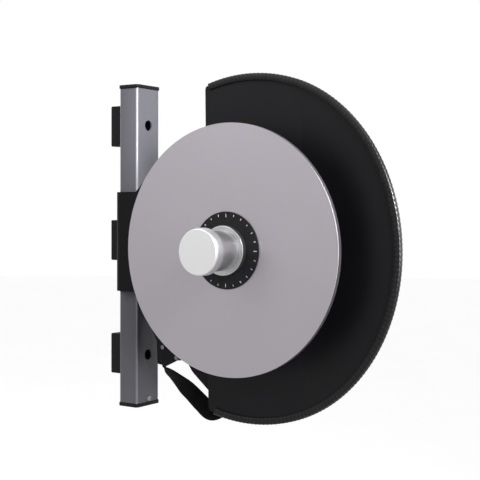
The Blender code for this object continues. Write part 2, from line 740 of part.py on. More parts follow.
def shaft(looks, line):
    edge = PLAY
    half_groove = BALL_DIAMETER / 2 + 2 * GAP
    slope = SHAFT_RADIUS - GROOVE_RADIUS
    profile = [
        (0, SHAFT_NOSE),
        (SHAFT_RADIUS - edge, SHAFT_NOSE),
        (SHAFT_RADIUS, SHAFT_NOSE - edge),
        (SHAFT_RADIUS, BALL_AT + half_groove + slope),
        (GROOVE_RADIUS, BALL_AT + half_groove),
        (GROOVE_RADIUS, BALL_AT - half_groove),
        (SHAFT_RADIUS, BALL_AT - half_groove - slope),
        (SHAFT_RADIUS, edge - SHAFT_TAIL),
        (SHAFT_RADIUS - edge, -SHAFT_TAIL),
        (0, -SHAFT_TAIL),
    ]
    turned("shaft", profile, looks, (0, 0, 0), TOWARDS_FLYWHEEL, line)


def drive_pin_places():
    for number in range(DRIVE_PINS):
        angle = math.radians(90) + 2 * math.pi * number / DRIVE_PINS
        yield DRIVE_PIN_CIRCLE * math.cos(angle), DRIVE_PIN_CIRCLE * math.sin(angle)


def drive_flange(looks, pin_looks, line):
    """The flange pressed on the shaft. Its hub bears on the front bearing's inner ring."""
    hub_back = FRONT_SEAT + BEARING_WIDTH + GAP
    profile = [
        (DRIVE_FLANGE_RADIUS, DRIVE_FRONT),
        (DRIVE_FLANGE_RADIUS, DRIVE_BACK),
        (DRIVE_HUB_RADIUS, DRIVE_BACK),
        (DRIVE_HUB_RADIUS, hub_back),
        (SHAFT_BORE, hub_back),
        (SHAFT_BORE, DRIVE_FRONT),
    ]
    flange = turned("drive_flange", profile, looks, (0, 0, 0), TOWARDS_FLYWHEEL, line, closed=True)
    pin = DRIVE_PIN_DIAMETER / 2
    for number, (x, z) in enumerate(drive_pin_places()):
        drill(flange, f"drive_flange_hole_{number}", pin + GAP, (x, -DRIVE_FRONT, z), TOWARDS_FLYWHEEL,
              2 * DRIVE_FLANGE, line, SCREW_STEPS)
        cylinder(f"drive_pin_{number + 1}", pin, DRIVE_BACK, DISC_FRONT - PLAY, pin_looks, (x, 0, z),
                 TOWARDS_FLYWHEEL, line, SCREW_STEPS, edge=GAP)


def disc(looks, line):
    radius = DISC_DIAMETER / 2
    profile = [
        (radius - DISC_EDGE, DISC_FRONT),
        (radius, DISC_FRONT - DISC_EDGE),
        (radius, DISC_BACK + DISC_EDGE),
        (radius - DISC_EDGE, DISC_BACK),
        (SHAFT_BORE, DISC_BACK),
        (SHAFT_BORE, DISC_FRONT),
    ]
    made = turned("flywheel_disc", profile, looks, (0, 0, 0), TOWARDS_FLYWHEEL, line, RIM_STEPS, closed=True)
    for number, (x, z) in enumerate(drive_pin_places()):
        drill(made, f"disc_hole_{number}", DRIVE_PIN_DIAMETER / 2 + GAP, (x, -DISC_FRONT, z),
              TOWARDS_FLYWHEEL, 2 * DISC_THICKNESS, line, SCREW_STEPS)


def spool(looks, strap_looks, nut_looks, line):
    """The spool between the bearings' inner rings, the strap wound on it, and the nut that closes
    the stack."""
    tube_front = FRONT_SEAT - GAP
    tube_back = GAP - REAR_SEAT
    inside = STRAP_WIDTH / 2 + PLAY
    outside = inside + SPOOL_FLANGE
    profile = [
        (SPOOL_TUBE_RADIUS, tube_front),
        (SPOOL_TUBE_RADIUS, SPOOL_OFFSET + outside),
        (SPOOL_FLANGE_RADIUS, SPOOL_OFFSET + outside),
        (SPOOL_FLANGE_RADIUS, SPOOL_OFFSET + inside),
        (SPOOL_CORE_RADIUS, SPOOL_OFFSET + inside),
        (SPOOL_CORE_RADIUS, SPOOL_OFFSET - inside),
        (SPOOL_FLANGE_RADIUS, SPOOL_OFFSET - inside),
        (SPOOL_FLANGE_RADIUS, SPOOL_OFFSET - outside),
        (SPOOL_TUBE_RADIUS, SPOOL_OFFSET - outside),
        (SPOOL_TUBE_RADIUS, tube_back),
        (SHAFT_BORE, tube_back),
        (SHAFT_BORE, tube_front),
    ]
    turned("spool", profile, looks, (0, 0, 0), TOWARDS_FLYWHEEL, line, closed=True)
    ring("strap_roll", ROLL_RADIUS, SPOOL_CORE_RADIUS + GAP, SPOOL_OFFSET - STRAP_WIDTH / 2,
         SPOOL_OFFSET + STRAP_WIDTH / 2, strap_looks, (0, 0, 0), TOWARDS_FLYWHEEL, line)
    seat = REAR_SEAT + BEARING_WIDTH + GAP
    mesh = bpy.data.meshes.new("shaft_nut")
    build = bmesh.new()
    bmesh.ops.create_cone(build, cap_ends=True, segments=6, radius1=SHAFT_NUT_ACROSS / math.sqrt(3),
                          radius2=SHAFT_NUT_ACROSS / math.sqrt(3), depth=SHAFT_NUT)
    build.to_mesh(mesh)
    build.free()
    nut = place("shaft_nut", mesh, nut_looks, (0, seat + SHAFT_NUT / 2, 0), TOWARDS_FLYWHEEL, line)
    drill(nut, "shaft_nut_hole", SHAFT_BORE, (0, seat + SHAFT_NUT / 2, 0), TOWARDS_FLYWHEEL, SHAFT_NUT, line,
          ROUND_STEPS)


# Locking knob: the collar's three balls sit in the shaft's groove until the grip is pulled

def knob_collar(looks, ball_looks, line):
    bore = SHAFT_BORE
    profile = [
        (CAGE_RADIUS, CAGE_FRONT),
        (CAGE_RADIUS, COLLAR_FRONT),
        (COLLAR_RADIUS - COLLAR_EDGE, COLLAR_FRONT),
        (COLLAR_RADIUS - COLLAR_EDGE / 3, COLLAR_FRONT - COLLAR_EDGE / 3),
        (COLLAR_RADIUS, COLLAR_FRONT - COLLAR_EDGE),
        (COLLAR_RADIUS, COLLAR_BACK),
        (bore, COLLAR_BACK),
        (bore, CAGE_FRONT),
    ]
    collar = turned("knob_collar", profile, looks, (0, 0, 0), TOWARDS_FLYWHEEL, line, closed=True)
    ball = BALL_DIAMETER / 2
    centre = GROOVE_RADIUS + GAP + ball
    for number in range(BALLS):
        angle = math.radians(90) + 2 * math.pi * number / BALLS
        spot = (centre * math.cos(angle), -BALL_AT, centre * math.sin(angle))
        drill(collar, f"ball_hole_{number}", ball + GAP, spot, (0, math.pi / 2 - angle, 0), 2 * ball, line,
              SCREW_STEPS)
        mesh = bpy.data.meshes.new("locking_ball")
        build = bmesh.new()
        bmesh.ops.create_uvsphere(build, u_segments=SCREW_STEPS, v_segments=SCREW_STEPS // 2, radius=ball)
        build.to_mesh(mesh)
        build.free()
        mesh.shade_smooth()
        place(f"locking_ball_{number + 1}", mesh, ball_looks, spot, UPRIGHT, line)


def knob_grip(looks, line):
    """The grip's sleeve, whose land holds the balls in, and the head that closes it."""
    bore = CAGE_RADIUS + GAP
    neck = GRIP_NECK_RADIUS
    profile = [
        (neck, GRIP_FRONT),
        (neck, GRIP_BACK + GRIP_EDGE / 2),
        (neck - GRIP_EDGE / 2, GRIP_BACK),
        (bore, GRIP_BACK),
        (bore, GRIP_BACK + GRIP_LAND),
        (GRIP_CAVITY_RADIUS, GRIP_BACK + GRIP_LAND),
        (GRIP_CAVITY_RADIUS, GRIP_FRONT),
    ]
    turned("grip_sleeve", profile, looks, (0, 0, 0), TOWARDS_FLYWHEEL, line, closed=True)
    head = GRIP_HEAD_RADIUS
    front = HEAD_BACK + GRIP_HEAD
    spigot = GRIP_CAVITY_RADIUS - GAP
    profile = [
        (0, front),
        (head - GRIP_EDGE, front),
        (head - GRIP_EDGE / 3, front - GRIP_EDGE / 3),
        (head, front - GRIP_EDGE),
        (head, HEAD_BACK + GRIP_EDGE),
        (head - GRIP_EDGE, HEAD_BACK),
        (spigot, HEAD_BACK),
        (spigot, HEAD_BACK - GRIP_SPIGOT),
        (0, HEAD_BACK - GRIP_SPIGOT),
    ]
    turned("grip_head", profile, looks, (0, 0, 0), TOWARDS_FLYWHEEL, line)


def knob_spring(looks, retainer_looks, line):
    """The retainer on the collar's front end, and the spring that pushes the grip back from it."""
    ring("spring_retainer", RETAINER_RADIUS, CAGE_RADIUS + GAP, RETAINER_BACK, RETAINER_FRONT, retainer_looks,
         (0, 0, 0), TOWARDS_FLYWHEEL, line)
    half = KNOB_SPRING_WIRE / 2
    start = GRIP_BACK + GRIP_LAND + GAP + half
    end = RETAINER_BACK - GAP - half
    count = KNOB_SPRING_CURLS * CURL_POINTS
    points = []
    for step in range(count + 1):
        angle = 2 * math.pi * step / CURL_POINTS
        out = start + (end - start) * step / count
        points.append((SHAFT_X + KNOB_SPRING_RADIUS * math.cos(angle), -out,
                       SHAFT_Z + KNOB_SPRING_RADIUS * math.sin(angle)))
    least = (end - start) / KNOB_SPRING_CURLS - KNOB_SPRING_WIRE
    print(f"knob spring: {least * 1000:.2f} mm between curls")
    wire("knob_spring", points, KNOB_SPRING_WIRE, looks)


# Guard: a round sheet cut along a chord on the wall side and bent once, with a trim on its arc

def bend_and_turn(build, axis_y):
    """Bends what lies outboard of the fold towards the flywheel, then turns the whole a little about the
    shaft, as it hangs. The mesh is in world space."""
    fold = SHAFT_X + GUARD_BEND_AT
    bmesh.ops.bisect_plane(build, geom=build.verts[:] + build.edges[:] + build.faces[:],
                           plane_co=(fold, 0, 0), plane_no=(1, 0, 0))
    outboard = [vert for vert in build.verts if vert.co.x > fold + GAP / 10]
    bmesh.ops.rotate(build, verts=outboard, cent=(fold, axis_y, 0),
                     matrix=Matrix.Rotation(-GUARD_BEND, 3, "Z"))
    bmesh.ops.rotate(build, verts=build.verts, cent=(SHAFT_X, 0, SHAFT_Z),
                     matrix=Matrix.Rotation(-GUARD_TURN, 3, "Y"))


def guard_sheet(looks):
    middle = -(GUARD_BACK + GUARD_FRONT) / 2
    stood_up = Matrix.Translation((SHAFT_X, middle, SHAFT_Z)) @ Matrix.Rotation(math.pi / 2, 4, "X")
    build = bmesh.new()
    bmesh.ops.create_circle(build, cap_ends=True, segments=RIM_STEPS, radius=GUARD_RADIUS, matrix=stood_up)
    bmesh.ops.bisect_plane(build, geom=build.verts[:] + build.edges[:] + build.faces[:],
                           plane_co=(GUARD_CUT_X, 0, 0), plane_no=(-1, 0, 0), clear_outer=True)
    corners = [vert for vert in build.verts if abs(vert.co.x - GUARD_CUT_X) < GAP / 10]
    for corner in corners:
        size = GUARD_TOP_CORNER if corner.co.z > SHAFT_Z else GUARD_BOTTOM_CORNER
        bmesh.ops.bevel(build, geom=[corner], affect="VERTICES", offset=size, segments=CORNER_STEPS,
                        profile=0.5, material=-1)
    bend_and_turn(build, middle)
    mesh = bpy.data.meshes.new("guard_sheet")
    build.to_mesh(mesh)
    build.free()
    guard = place("guard_sheet", mesh, looks, (0, 0, 0), UPRIGHT, None)
    shell = guard.modifiers.new("thickness", "SOLIDIFY")
    shell.thickness = GUARD_SHEET
    shell.offset = 0
    shell.use_even_offset = True
    drill(guard, "guard_pilot_hole", HOUSING_PILOT_RADIUS + GAP, (SHAFT_X, middle, SHAFT_Z), TOWARDS_FLYWHEEL,
          2 * GUARD_SHEET, steps=ROUND_STEPS)
    for number, (x, z) in enumerate(housing_screw_places()):
        drill(guard, f"guard_screw_hole_{number}", HOUSING_SCREW / 2 + GAP,
              (SHAFT_X + x, middle, SHAFT_Z + z), TOWARDS_FLYWHEEL, 2 * GUARD_SHEET, steps=SCREW_STEPS)
    stud = cylinder("guard_stud", GUARD_STUD / 2, PLATE_INNER - GUARD_NUT - 3 * GAP, -middle, None,
                    (STUD_AT.x, 0, STUD_AT.y), TOWARDS_FLYWHEEL, None, SCREW_STEPS, as_cutter=True)
    combine(guard, stud, "UNION")


def guard_nut(looks):
    """The nut behind the near plate's foot, on the stud welded to the guard."""
    mesh = bpy.data.meshes.new("guard_nut")
    build = bmesh.new()
    bmesh.ops.create_cone(build, cap_ends=True, segments=6, radius1=GUARD_NUT_ACROSS / math.sqrt(3),
                          radius2=GUARD_NUT_ACROSS / math.sqrt(3), depth=GUARD_NUT)
    build.to_mesh(mesh)
    build.free()
    spot = (STUD_AT.x, GAP + GUARD_NUT / 2 - PLATE_INNER, STUD_AT.y)
    nut = place("guard_nut", mesh, looks, spot, TOWARDS_FLYWHEEL, None)
    drill(nut, "guard_nut_hole", GUARD_STUD / 2 + GAP, spot, TOWARDS_FLYWHEEL, GUARD_NUT, steps=SCREW_STEPS)


def guard_trim(looks):
    """A U-section of rubber pushed over the guard's arc. It follows the bend."""
    middle = -(GUARD_BACK + GUARD_FRONT) / 2
    outer = GUARD_RADIUS + TRIM_REACH
    inner = outer - TRIM_DEPTH
    slot = GUARD_SHEET / 2 + GAP
    side = TRIM_WIDTH / 2
    section = rounded([
        (inner, side, 0), (inner, slot, 0), (GUARD_RADIUS + GAP, slot, 0), (GUARD_RADIUS + GAP, -slot, 0),
        (inner, -slot, 0), (inner, -side, 0), (outer, -side, TRIM_CORNER), (outer, side, TRIM_CORNER),
    ])
    whole = math.acos(-GUARD_CUT / GUARD_RADIUS) - TRIM_INDENT / GUARD_RADIUS
    above = whole - GUARD_TOP_CORNER / GUARD_RADIUS
    below = whole - GUARD_BOTTOM_CORNER / GUARD_RADIUS
    build = bmesh.new()
    first = Matrix.Rotation(below, 4, "Y")
    face = build.faces.new([build.verts.new(first @ Vector((radius, y, 0))) for radius, y in section])
    bmesh.ops.spin(build, geom=[face], cent=(0, 0, 0), axis=(0, 1, 0), angle=-above - below,
                   steps=RIM_STEPS // 2, use_merge=False)
    bmesh.ops.translate(build, verts=build.verts, vec=(SHAFT_X, middle, SHAFT_Z))
    bend_and_turn(build, middle)
    bmesh.ops.recalc_face_normals(build, faces=build.faces)
    mesh = bpy.data.meshes.new("guard_trim")
    build.to_mesh(mesh)
    build.free()
    smooth_shaded(place("guard_trim", mesh, looks, (0, 0, 0), UPRIGHT, None))


# Strap guide: two plain rollers on axles across the plates

def guide_rollers(roller_looks, axle_looks):
    inside = PLATE_INNER - 2 * GAP
    for end, axle in (("upper", UPPER_AXLE), ("lower", LOWER_AXLE)):
        turning = empty(f"{end}_roller_axis", (axle.x, 0, axle.y))
        ring(f"{end}_roller", ROLLER_DIAMETER / 2, ROLLER_BORE / 2, -inside, inside, roller_looks, (0, 0, 0),
             TOWARDS_FLYWHEEL, turning, SMALL_STEPS)
        shank = AXLE_DIAMETER / 2
        head = AXLE_HEAD / 2
        seat = PLATE_OUTER + GAP
        top = seat + AXLE_HEAD_RISE
        profile = [
            (0, top),
            (head - GAP, top),
            (head, top - GAP),
            (head, seat),
            (shank, seat),
            (shank, -seat),
            (head, -seat),
            (head, -top),
            (0, -top),
        ]
        turned(f"{end}_axle", profile, axle_looks, (axle.x, 0, axle.y), TOWARDS_FLYWHEEL, None, SCREW_STEPS)


def plate_bar(looks):
    """The bar between the plates, riveted through both, that the carabiner is parked on."""
    shoulder = PLATE_INNER - GAP
    end = PLATE_OUTER
    bar = BAR_DIAMETER / 2
    spigot = BAR_SPIGOT / 2
    profile = [
        (0, end),
        (spigot, end),
        (spigot, shoulder),
        (bar, shoulder),
        (bar, -shoulder),
        (spigot, -shoulder),
        (spigot, -end),
        (0, -end),
    ]
    turned("plate_bar", profile, looks, (BAR_X, 0, BAR_Z), TOWARDS_FLYWHEEL, None, SMALL_STEPS)


# Carabiner: a bent wire hung on the bar, closed by a gate that swings inwards

def carabiner(looks):
    wire_radius = CARABINER_WIRE / 2
    half = CARABINER_WIDTH / 2 - wire_radius
    top = carabiner_top()
    bottom = carabiner_bottom()
    centre = top - half
    pivot = gate_pivot()
    nose = pivot.z + GATE_LENGTH + GAP
    corner = CARABINER_CORNER
    left = (BAR_X - half + corner, bottom + corner)
    right = (BAR_X + half - corner, bottom + corner)
    route = [(BAR_X + half, nose, 0)]
    route += arc((BAR_X, centre), half, 0, math.pi, CURL_POINTS)
    route += arc(left, corner, math.pi, 1.5 * math.pi, CORNER_STEPS)
    route += arc(right, corner, 1.5 * math.pi, 2 * math.pi, CORNER_STEPS)
    route.append((BAR_X + half, pivot.z - GATE_DIAMETER / 2 - GAP, 0))
    wire("carabiner_body", [(x, 0, z) for x, z, _ in route], CARABINER_WIRE, looks, resolution=2)


def carabiner_top():
    """Height of the wire's centre where it hangs on the bar."""
    return BAR_Z + BAR_DIAMETER / 2 + GAP + CARABINER_WIRE / 2


def carabiner_bottom():
    return carabiner_top() - CARABINER_LENGTH + CARABINER_WIRE


def gate_pivot():
    half = (CARABINER_WIDTH - CARABINER_WIRE) / 2
    rise = CARABINER_CORNER + CARABINER_STEM + GATE_DIAMETER / 2
    return Vector((BAR_X + half, 0, carabiner_bottom() + rise))


def carabiner_gate(looks):
    radius = GATE_DIAMETER / 2
    dome = [(radius * math.cos(math.radians(angle)), -radius * math.sin(math.radians(angle)))
            for angle in (30, 60)]
    profile = [(0, GATE_LENGTH), (radius, GATE_LENGTH), (radius, 0), *dome, (0, -radius)]
    turned("carabiner_gate", profile, looks, gate_pivot(), UPRIGHT, None, SCREW_STEPS)


# Strap: from the roll, between the guide rollers, round a slack twisted loop to the carabiner

def strap_stations():
    """Places along the strap's middle and the way that its width points there."""
    flat = Vector((0, -1, 0))
    towards_wall = Vector((-1, 0, 0))
    side = STRAP_THICKNESS / 2 + GAP
    past = UPPER_AXLE - GUIDE_ACROSS * (ROLLER_DIAMETER / 2 + side)
    to_shaft = Vector((SHAFT_X, SHAFT_Z)) - past
    lean = math.asin((ROLL_RADIUS + side) / to_shaft.length)
    run = Matrix.Rotation(lean, 2) @ to_shaft.normalized()
    reach = to_shaft.length * math.cos(lean)
    stations = []
    for share in (1, 0.75, 0.5, 0.25, 0.05):
        spot = past + run * reach * share
        stations.append(((spot.x, -SPOOL_OFFSET - 0.003 * (1 - share), spot.y), flat))
    stations += [
        ((0.1165, -0.0165, -0.1680), Vector((0.10, -1.00, 0.05))),
        ((0.1085, -0.0185, -0.1785), Vector((0.35, -0.93, 0.10))),
        ((0.1060, -0.0200, -0.1866), Vector((0.50, -0.80, 0.33))),
        ((0.1147, -0.0190, -0.1936), Vector((0.55, -0.61, 0.57))),
        ((0.1247, -0.0180, -0.1998), Vector((0.60, -0.43, 0.68))),
        ((0.1337, -0.0172, -0.2061), Vector((0.62, -0.21, 0.76))),
        ((0.1415, -0.0157, -0.2121), Vector((0.60, 0.05, 0.80))),
        ((0.1525, -0.0135, -0.2210), Vector((0.60, 0.22, 0.76))),
        ((0.1606, -0.0114, -0.2288), Vector((0.58, 0.36, 0.73))),
        ((0.1697, -0.0101, -0.2366), Vector((0.50, 0.42, 0.75))),
        ((0.1785, -0.0090, -0.2437), Vector((0.40, 0.50, 0.77))),
        ((0.1925, -0.0080, -0.2479), Vector((0.15, 0.80, 0.58))),
        ((0.2057, -0.0070, -0.2461), Vector((-0.10, 0.95, 0.30))),
        ((0.2215, -0.0060, -0.2350), Vector((-0.40, 0.90, 0.15))),
        ((0.2365, -0.0045, -0.2180), Vector((-0.65, 0.75, 0.10))),
        ((0.2480, -0.0030, -0.2010), Vector((-0.88, 0.45, 0.05))),
    ]
    wrap = CARABINER_WIRE / 2 + side + EYE_SLACK
    lay = STRAP_THICKNESS / 2 + GAP
    bottom = carabiner_bottom()
    eye = [(-lay, -EYE_TAIL), (-lay, -EYE_TAIL / 2), (-wrap, -GAP)]
    eye += [(-wrap * math.cos(math.radians(angle)), wrap * math.sin(math.radians(angle)))
            for angle in (45, 90, 135)]
    eye += [(wrap, -GAP), (lay, -EYE_TAIL / 2), (lay, -EYE_TAIL)]
    stations += [((BAR_X, y, bottom + z), towards_wall) for y, z in eye]
    return stations


def spline_through(rows, spacing):
    """A natural cubic spline through rows of numbers, read about every spacing along the first three."""
    rows = np.array(rows)
    steps = np.linalg.norm(np.diff(rows[:, :3], axis=0), axis=1)
    knots = np.concatenate([[0], np.cumsum(steps)])
    count = len(rows)
    bending = np.eye(count)
    pull = np.zeros_like(rows)
    for index in range(1, count - 1):
        before = knots[index] - knots[index - 1]
        after = knots[index + 1] - knots[index]
        bending[index, index - 1:index + 2] = (before / 6, (before + after) / 3, after / 6)
        pull[index] = (rows[index + 1] - rows[index]) / after - (rows[index] - rows[index - 1]) / before
    curved = np.linalg.solve(bending, pull)
    places = np.linspace(0, knots[-1], round(knots[-1] / spacing) + 1)
    lower = np.clip(np.searchsorted(knots, places, side="right") - 1, 0, count - 2)
    width = (knots[lower + 1] - knots[lower])[:, None]
    right = (places[:, None] - knots[lower][:, None]) / width
    left = 1 - right
    return (left * rows[lower] + right * rows[lower + 1]
            + ((left**3 - left) * curved[lower] + (right**3 - right) * curved[lower + 1]) * width**2 / 6)


def pull_strap(looks):
    rows = [(*where, *width) for where, width in strap_stations()]
    read = spline_through(rows, 2 * STRAP_THICKNESS)
    middles = [Vector(row[:3]) for row in read]
    mesh = bpy.data.meshes.new("pull_strap")
    build = bmesh.new()
    loops = []
    for index, middle in enumerate(middles):
        ahead = middles[min(index + 1, len(middles) - 1)] - middles[max(index - 1, 0)]
        width = Vector(read[index][3:])
        width = (width - width.project(ahead)).normalized() * STRAP_WIDTH / 2
        depth = ahead.cross(width).normalized() * STRAP_THICKNESS / 2
        corners = (width + depth, depth - width, -width - depth, width - depth)
        loops.append([build.verts.new(middle + corner) for corner in corners])
    for before, after in zip(loops, loops[1:]):
        for side in range(4):
            build.faces.new((before[side], before[side - 1], after[side - 1], after[side]))
    build.faces.new(loops[0])
    build.faces.new(reversed(loops[-1]))
    bmesh.ops.recalc_face_normals(build, faces=build.faces)
    build.to_mesh(mesh)
    build.free()
    place("pull_strap", mesh, looks, (0, 0, 0), UPRIGHT, None)
    length = sum((after - before).length for before, after in zip(middles, middles[1:]))
    print(f"pull strap: {length * 1000:.0f} mm from the roll to the end of its eye")


# Clamp: a knob on the far side turns a stud in a boss and presses a pad on the post

def clamp(boss_looks, knob_looks, stud_looks, pad_looks):
    axis = empty("clamp_axis", (POST_MIDDLE, 0, CLAMP_Z))
    post_side = POST_WIDTH / 2
    cylinder("clamp_pad", CLAMP_PAD_RADIUS, post_side + GAP, post_side + GAP + CLAMP_PAD, pad_looks,
             (0, 0, 0), TOWARDS_FAR_SIDE, axis, SMALL_STEPS, edge=GAP)
    boss_start = PLATE_OUTER + GAP
    boss_end = boss_start + CLAMP_BOSS
    profile = [
        (CLAMP_BOSS_RADIUS - PLAY, boss_end),
        (CLAMP_BOSS_RADIUS, boss_end - PLAY),
        (CLAMP_BOSS_RADIUS, boss_start),
        (CLAMP_STUD / 2 + GAP, boss_start),
        (CLAMP_STUD / 2 + GAP, boss_end),
    ]
    turned("clamp_boss", profile, boss_looks, (0, 0, 0), TOWARDS_FAR_SIDE, axis, SMALL_STEPS, closed=True)
    knob_start = boss_end + CLAMP_RUN
    knob_end = knob_start + CLAMP_KNOB
    stud_end = knob_end - CLAMP_KNOB / 4
    cylinder("clamp_stud", CLAMP_STUD / 2, post_side + 2 * GAP + CLAMP_PAD, stud_end, stud_looks,
             (0, 0, 0), TOWARDS_FAR_SIDE, axis, SMALL_STEPS, edge=GAP)
    outline = []
    for step in range(CLAMP_KNOB_LOBES * LOBE_STEPS):
        angle = 2 * math.pi * step / (CLAMP_KNOB_LOBES * LOBE_STEPS)
        radius = CLAMP_KNOB_RADIUS - CLAMP_KNOB_LOBE * (1 - math.cos(CLAMP_KNOB_LOBES * angle)) / 2
        outline.append((radius * math.cos(angle), radius * math.sin(angle)))
    knob = extruded("clamp_knob", [outline], CLAMP_KNOB, knob_looks,
                    (POST_MIDDLE, (knob_start + knob_end) / 2, CLAMP_Z), TOWARDS_FAR_SIDE, None)
    edge = knob.modifiers.new("edge", "BEVEL")
    edge.width = PLAY
    edge.segments = 2
    edge.limit_method = "ANGLE"
    edge.angle_limit = math.radians(60)
    bore = cylinder("clamp_knob_bore", CLAMP_STUD / 2 + GAP, knob_start - CLAMP_KNOB, stud_end + GAP, None,
                    (POST_MIDDLE, 0, CLAMP_Z), TOWARDS_FAR_SIDE, None, SMALL_STEPS, as_cutter=True)
    combine(knob, bore)


def assemble():
    clear_scene()
    for name in ("flywheel_trainer", "cutters"):
        bpy.context.scene.collection.children.link(bpy.data.collections.new(name))

    paint = finish("grey_metallic_paint", (0.24, 0.25, 0.28), 0.38, 0.6)
    black_paint = finish("black_powder_coat", (0.012, 0.012, 0.014), 0.5, 0.0)
    plastic = finish("black_plastic", (0.02, 0.02, 0.022), 0.55, 0.0)
    sheet = finish("guard_black", (0.03, 0.03, 0.033), 0.5, 0.0)
    rubber = finish("trim_rubber", (0.02, 0.02, 0.02), 0.6, 0.0)
    satin = finish("satin_aluminium", (0.6, 0.6, 0.61), 0.32, 1.0)
    brushed = finish("disc_aluminium", (0.45, 0.44, 0.46), 0.4, 0.9)
    steel = finish("bright_steel", (0.6, 0.6, 0.6), 0.3, 1.0)
    webbing = finish("webbing", (0.015, 0.015, 0.016), 0.85, 0.0)
    glide = finish("glide_plastic", (0.5, 0.5, 0.48), 0.5, 0.0)

    wall_pads(plastic)
    post(paint)
    end_caps(plastic)
    post_fixings(steel, steel)

    sleeve(black_paint)
    glides(glide)
    near_plate(black_paint)
    far_plate(black_paint)
    carriage_line = empty("housing_line", (SHAFT_X, 0, SHAFT_Z))
    shaft_line = empty("shaft_line", (SHAFT_X, 0, SHAFT_Z))
    ends = (
        ("front", GUARD_FRONT + GAP, FRONT_SEAT, TOWARDS_FLYWHEEL),
        ("rear", PLATE_OUTER + GAP, REAR_SEAT, TOWARDS_FAR_SIDE),
    )
    for end, flange_back, seat, outwards in ends:
        housing(end + "_housing", black_paint, flange_back, seat, outwards, carriage_line)
        housing_screws(end + "_screw", steel, flange_back + HOUSING_FLANGE, outwards, carriage_line)
        bearing(end + "_bearing", steel, seat, outwards, carriage_line, shaft_line)
    guard_sheet(sheet)
    guard_nut(steel)
    guard_trim(rubber)
    guide_rollers(plastic, steel)
    plate_bar(steel)
    carabiner(steel)
    carabiner_gate(steel)
    pull_strap(webbing)
    clamp(black_paint, plastic, steel, plastic)

    shaft(steel, shaft_line)
    drive_flange(steel, steel, shaft_line)
    disc(brushed, shaft_line)
    ring("hub_ring", HUB_RING_RADIUS, SHAFT_BORE, RING_BACK, RING_BACK + HUB_RING, black_paint, (0, 0, 0),
         TOWARDS_FLYWHEEL, shaft_line)
    spool(plastic, webbing, steel, shaft_line)
    knob_collar(satin, steel, shaft_line)
    knob_grip(satin, shaft_line)
    knob_spring(steel, steel, shaft_line)


assemble()
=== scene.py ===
"""A wall-mounted flywheel trainer: the finished pieces over its frame, in a pale studio."""

import math

import bmesh
import bpy
import numpy as np
from mathutils import Matrix, Vector


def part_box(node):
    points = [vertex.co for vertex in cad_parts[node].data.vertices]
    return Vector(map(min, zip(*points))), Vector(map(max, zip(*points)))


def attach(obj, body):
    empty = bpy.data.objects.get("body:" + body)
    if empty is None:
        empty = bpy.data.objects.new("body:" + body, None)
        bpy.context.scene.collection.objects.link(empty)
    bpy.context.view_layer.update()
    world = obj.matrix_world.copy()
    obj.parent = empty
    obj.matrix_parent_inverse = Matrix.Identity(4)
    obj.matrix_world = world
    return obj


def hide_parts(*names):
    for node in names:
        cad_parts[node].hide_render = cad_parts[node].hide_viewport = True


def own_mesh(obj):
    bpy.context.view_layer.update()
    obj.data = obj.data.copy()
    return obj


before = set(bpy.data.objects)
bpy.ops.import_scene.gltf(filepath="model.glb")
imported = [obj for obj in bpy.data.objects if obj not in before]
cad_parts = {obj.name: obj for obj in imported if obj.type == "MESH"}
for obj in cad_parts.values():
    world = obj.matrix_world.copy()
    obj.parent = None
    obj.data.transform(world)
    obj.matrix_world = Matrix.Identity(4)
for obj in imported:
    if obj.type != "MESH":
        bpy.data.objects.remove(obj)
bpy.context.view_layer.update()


# Camera: the photograph's own place, height, turn and field of view.
# The frame is 480 pixels each way, and its optical axis lies a little below the middle.
camera_data = bpy.data.cameras.new("camera")
camera_data.sensor_width = 36
camera_data.lens = 79.72
camera_data.shift_y = 0.0026
camera = bpy.data.objects.new("camera", camera_data)
turned_left = Matrix.Rotation(math.radians(33.99), 4, "Z")
tilted_down = Matrix.Rotation(math.radians(90 - 1.72), 4, "X")
rolled = Matrix.Rotation(math.radians(0.23), 4, "Z")
camera.matrix_world = Matrix.Translation((1.0725, -1.2550, 0.0477)) @ turned_left @ tilted_down @ rolled
bpy.context.scene.collection.objects.link(camera)
bpy.context.scene.camera = camera
bpy.context.scene.view_settings.view_transform = "Standard"


# Studio: a pale floor well below the trainer, which shows white to the camera outside its shadow.
# Finishes are built from here on with Look, and arithmetic on the signals in it adds the nodes.
class Signal:
    """What one socket gives out. Arithmetic on it adds Math nodes."""

    def __init__(self, look, socket):
        self.look = look
        self.socket = socket

    def math(self, operation, *others):
        return self.look.node("ShaderNodeMath", {"operation": operation}, dict(enumerate((self, *others))))

    def __add__(self, other):
        return self.math("ADD", other)

    def __mul__(self, other):
        return self.math("MULTIPLY", other)

    __radd__ = __add__
    __rmul__ = __mul__


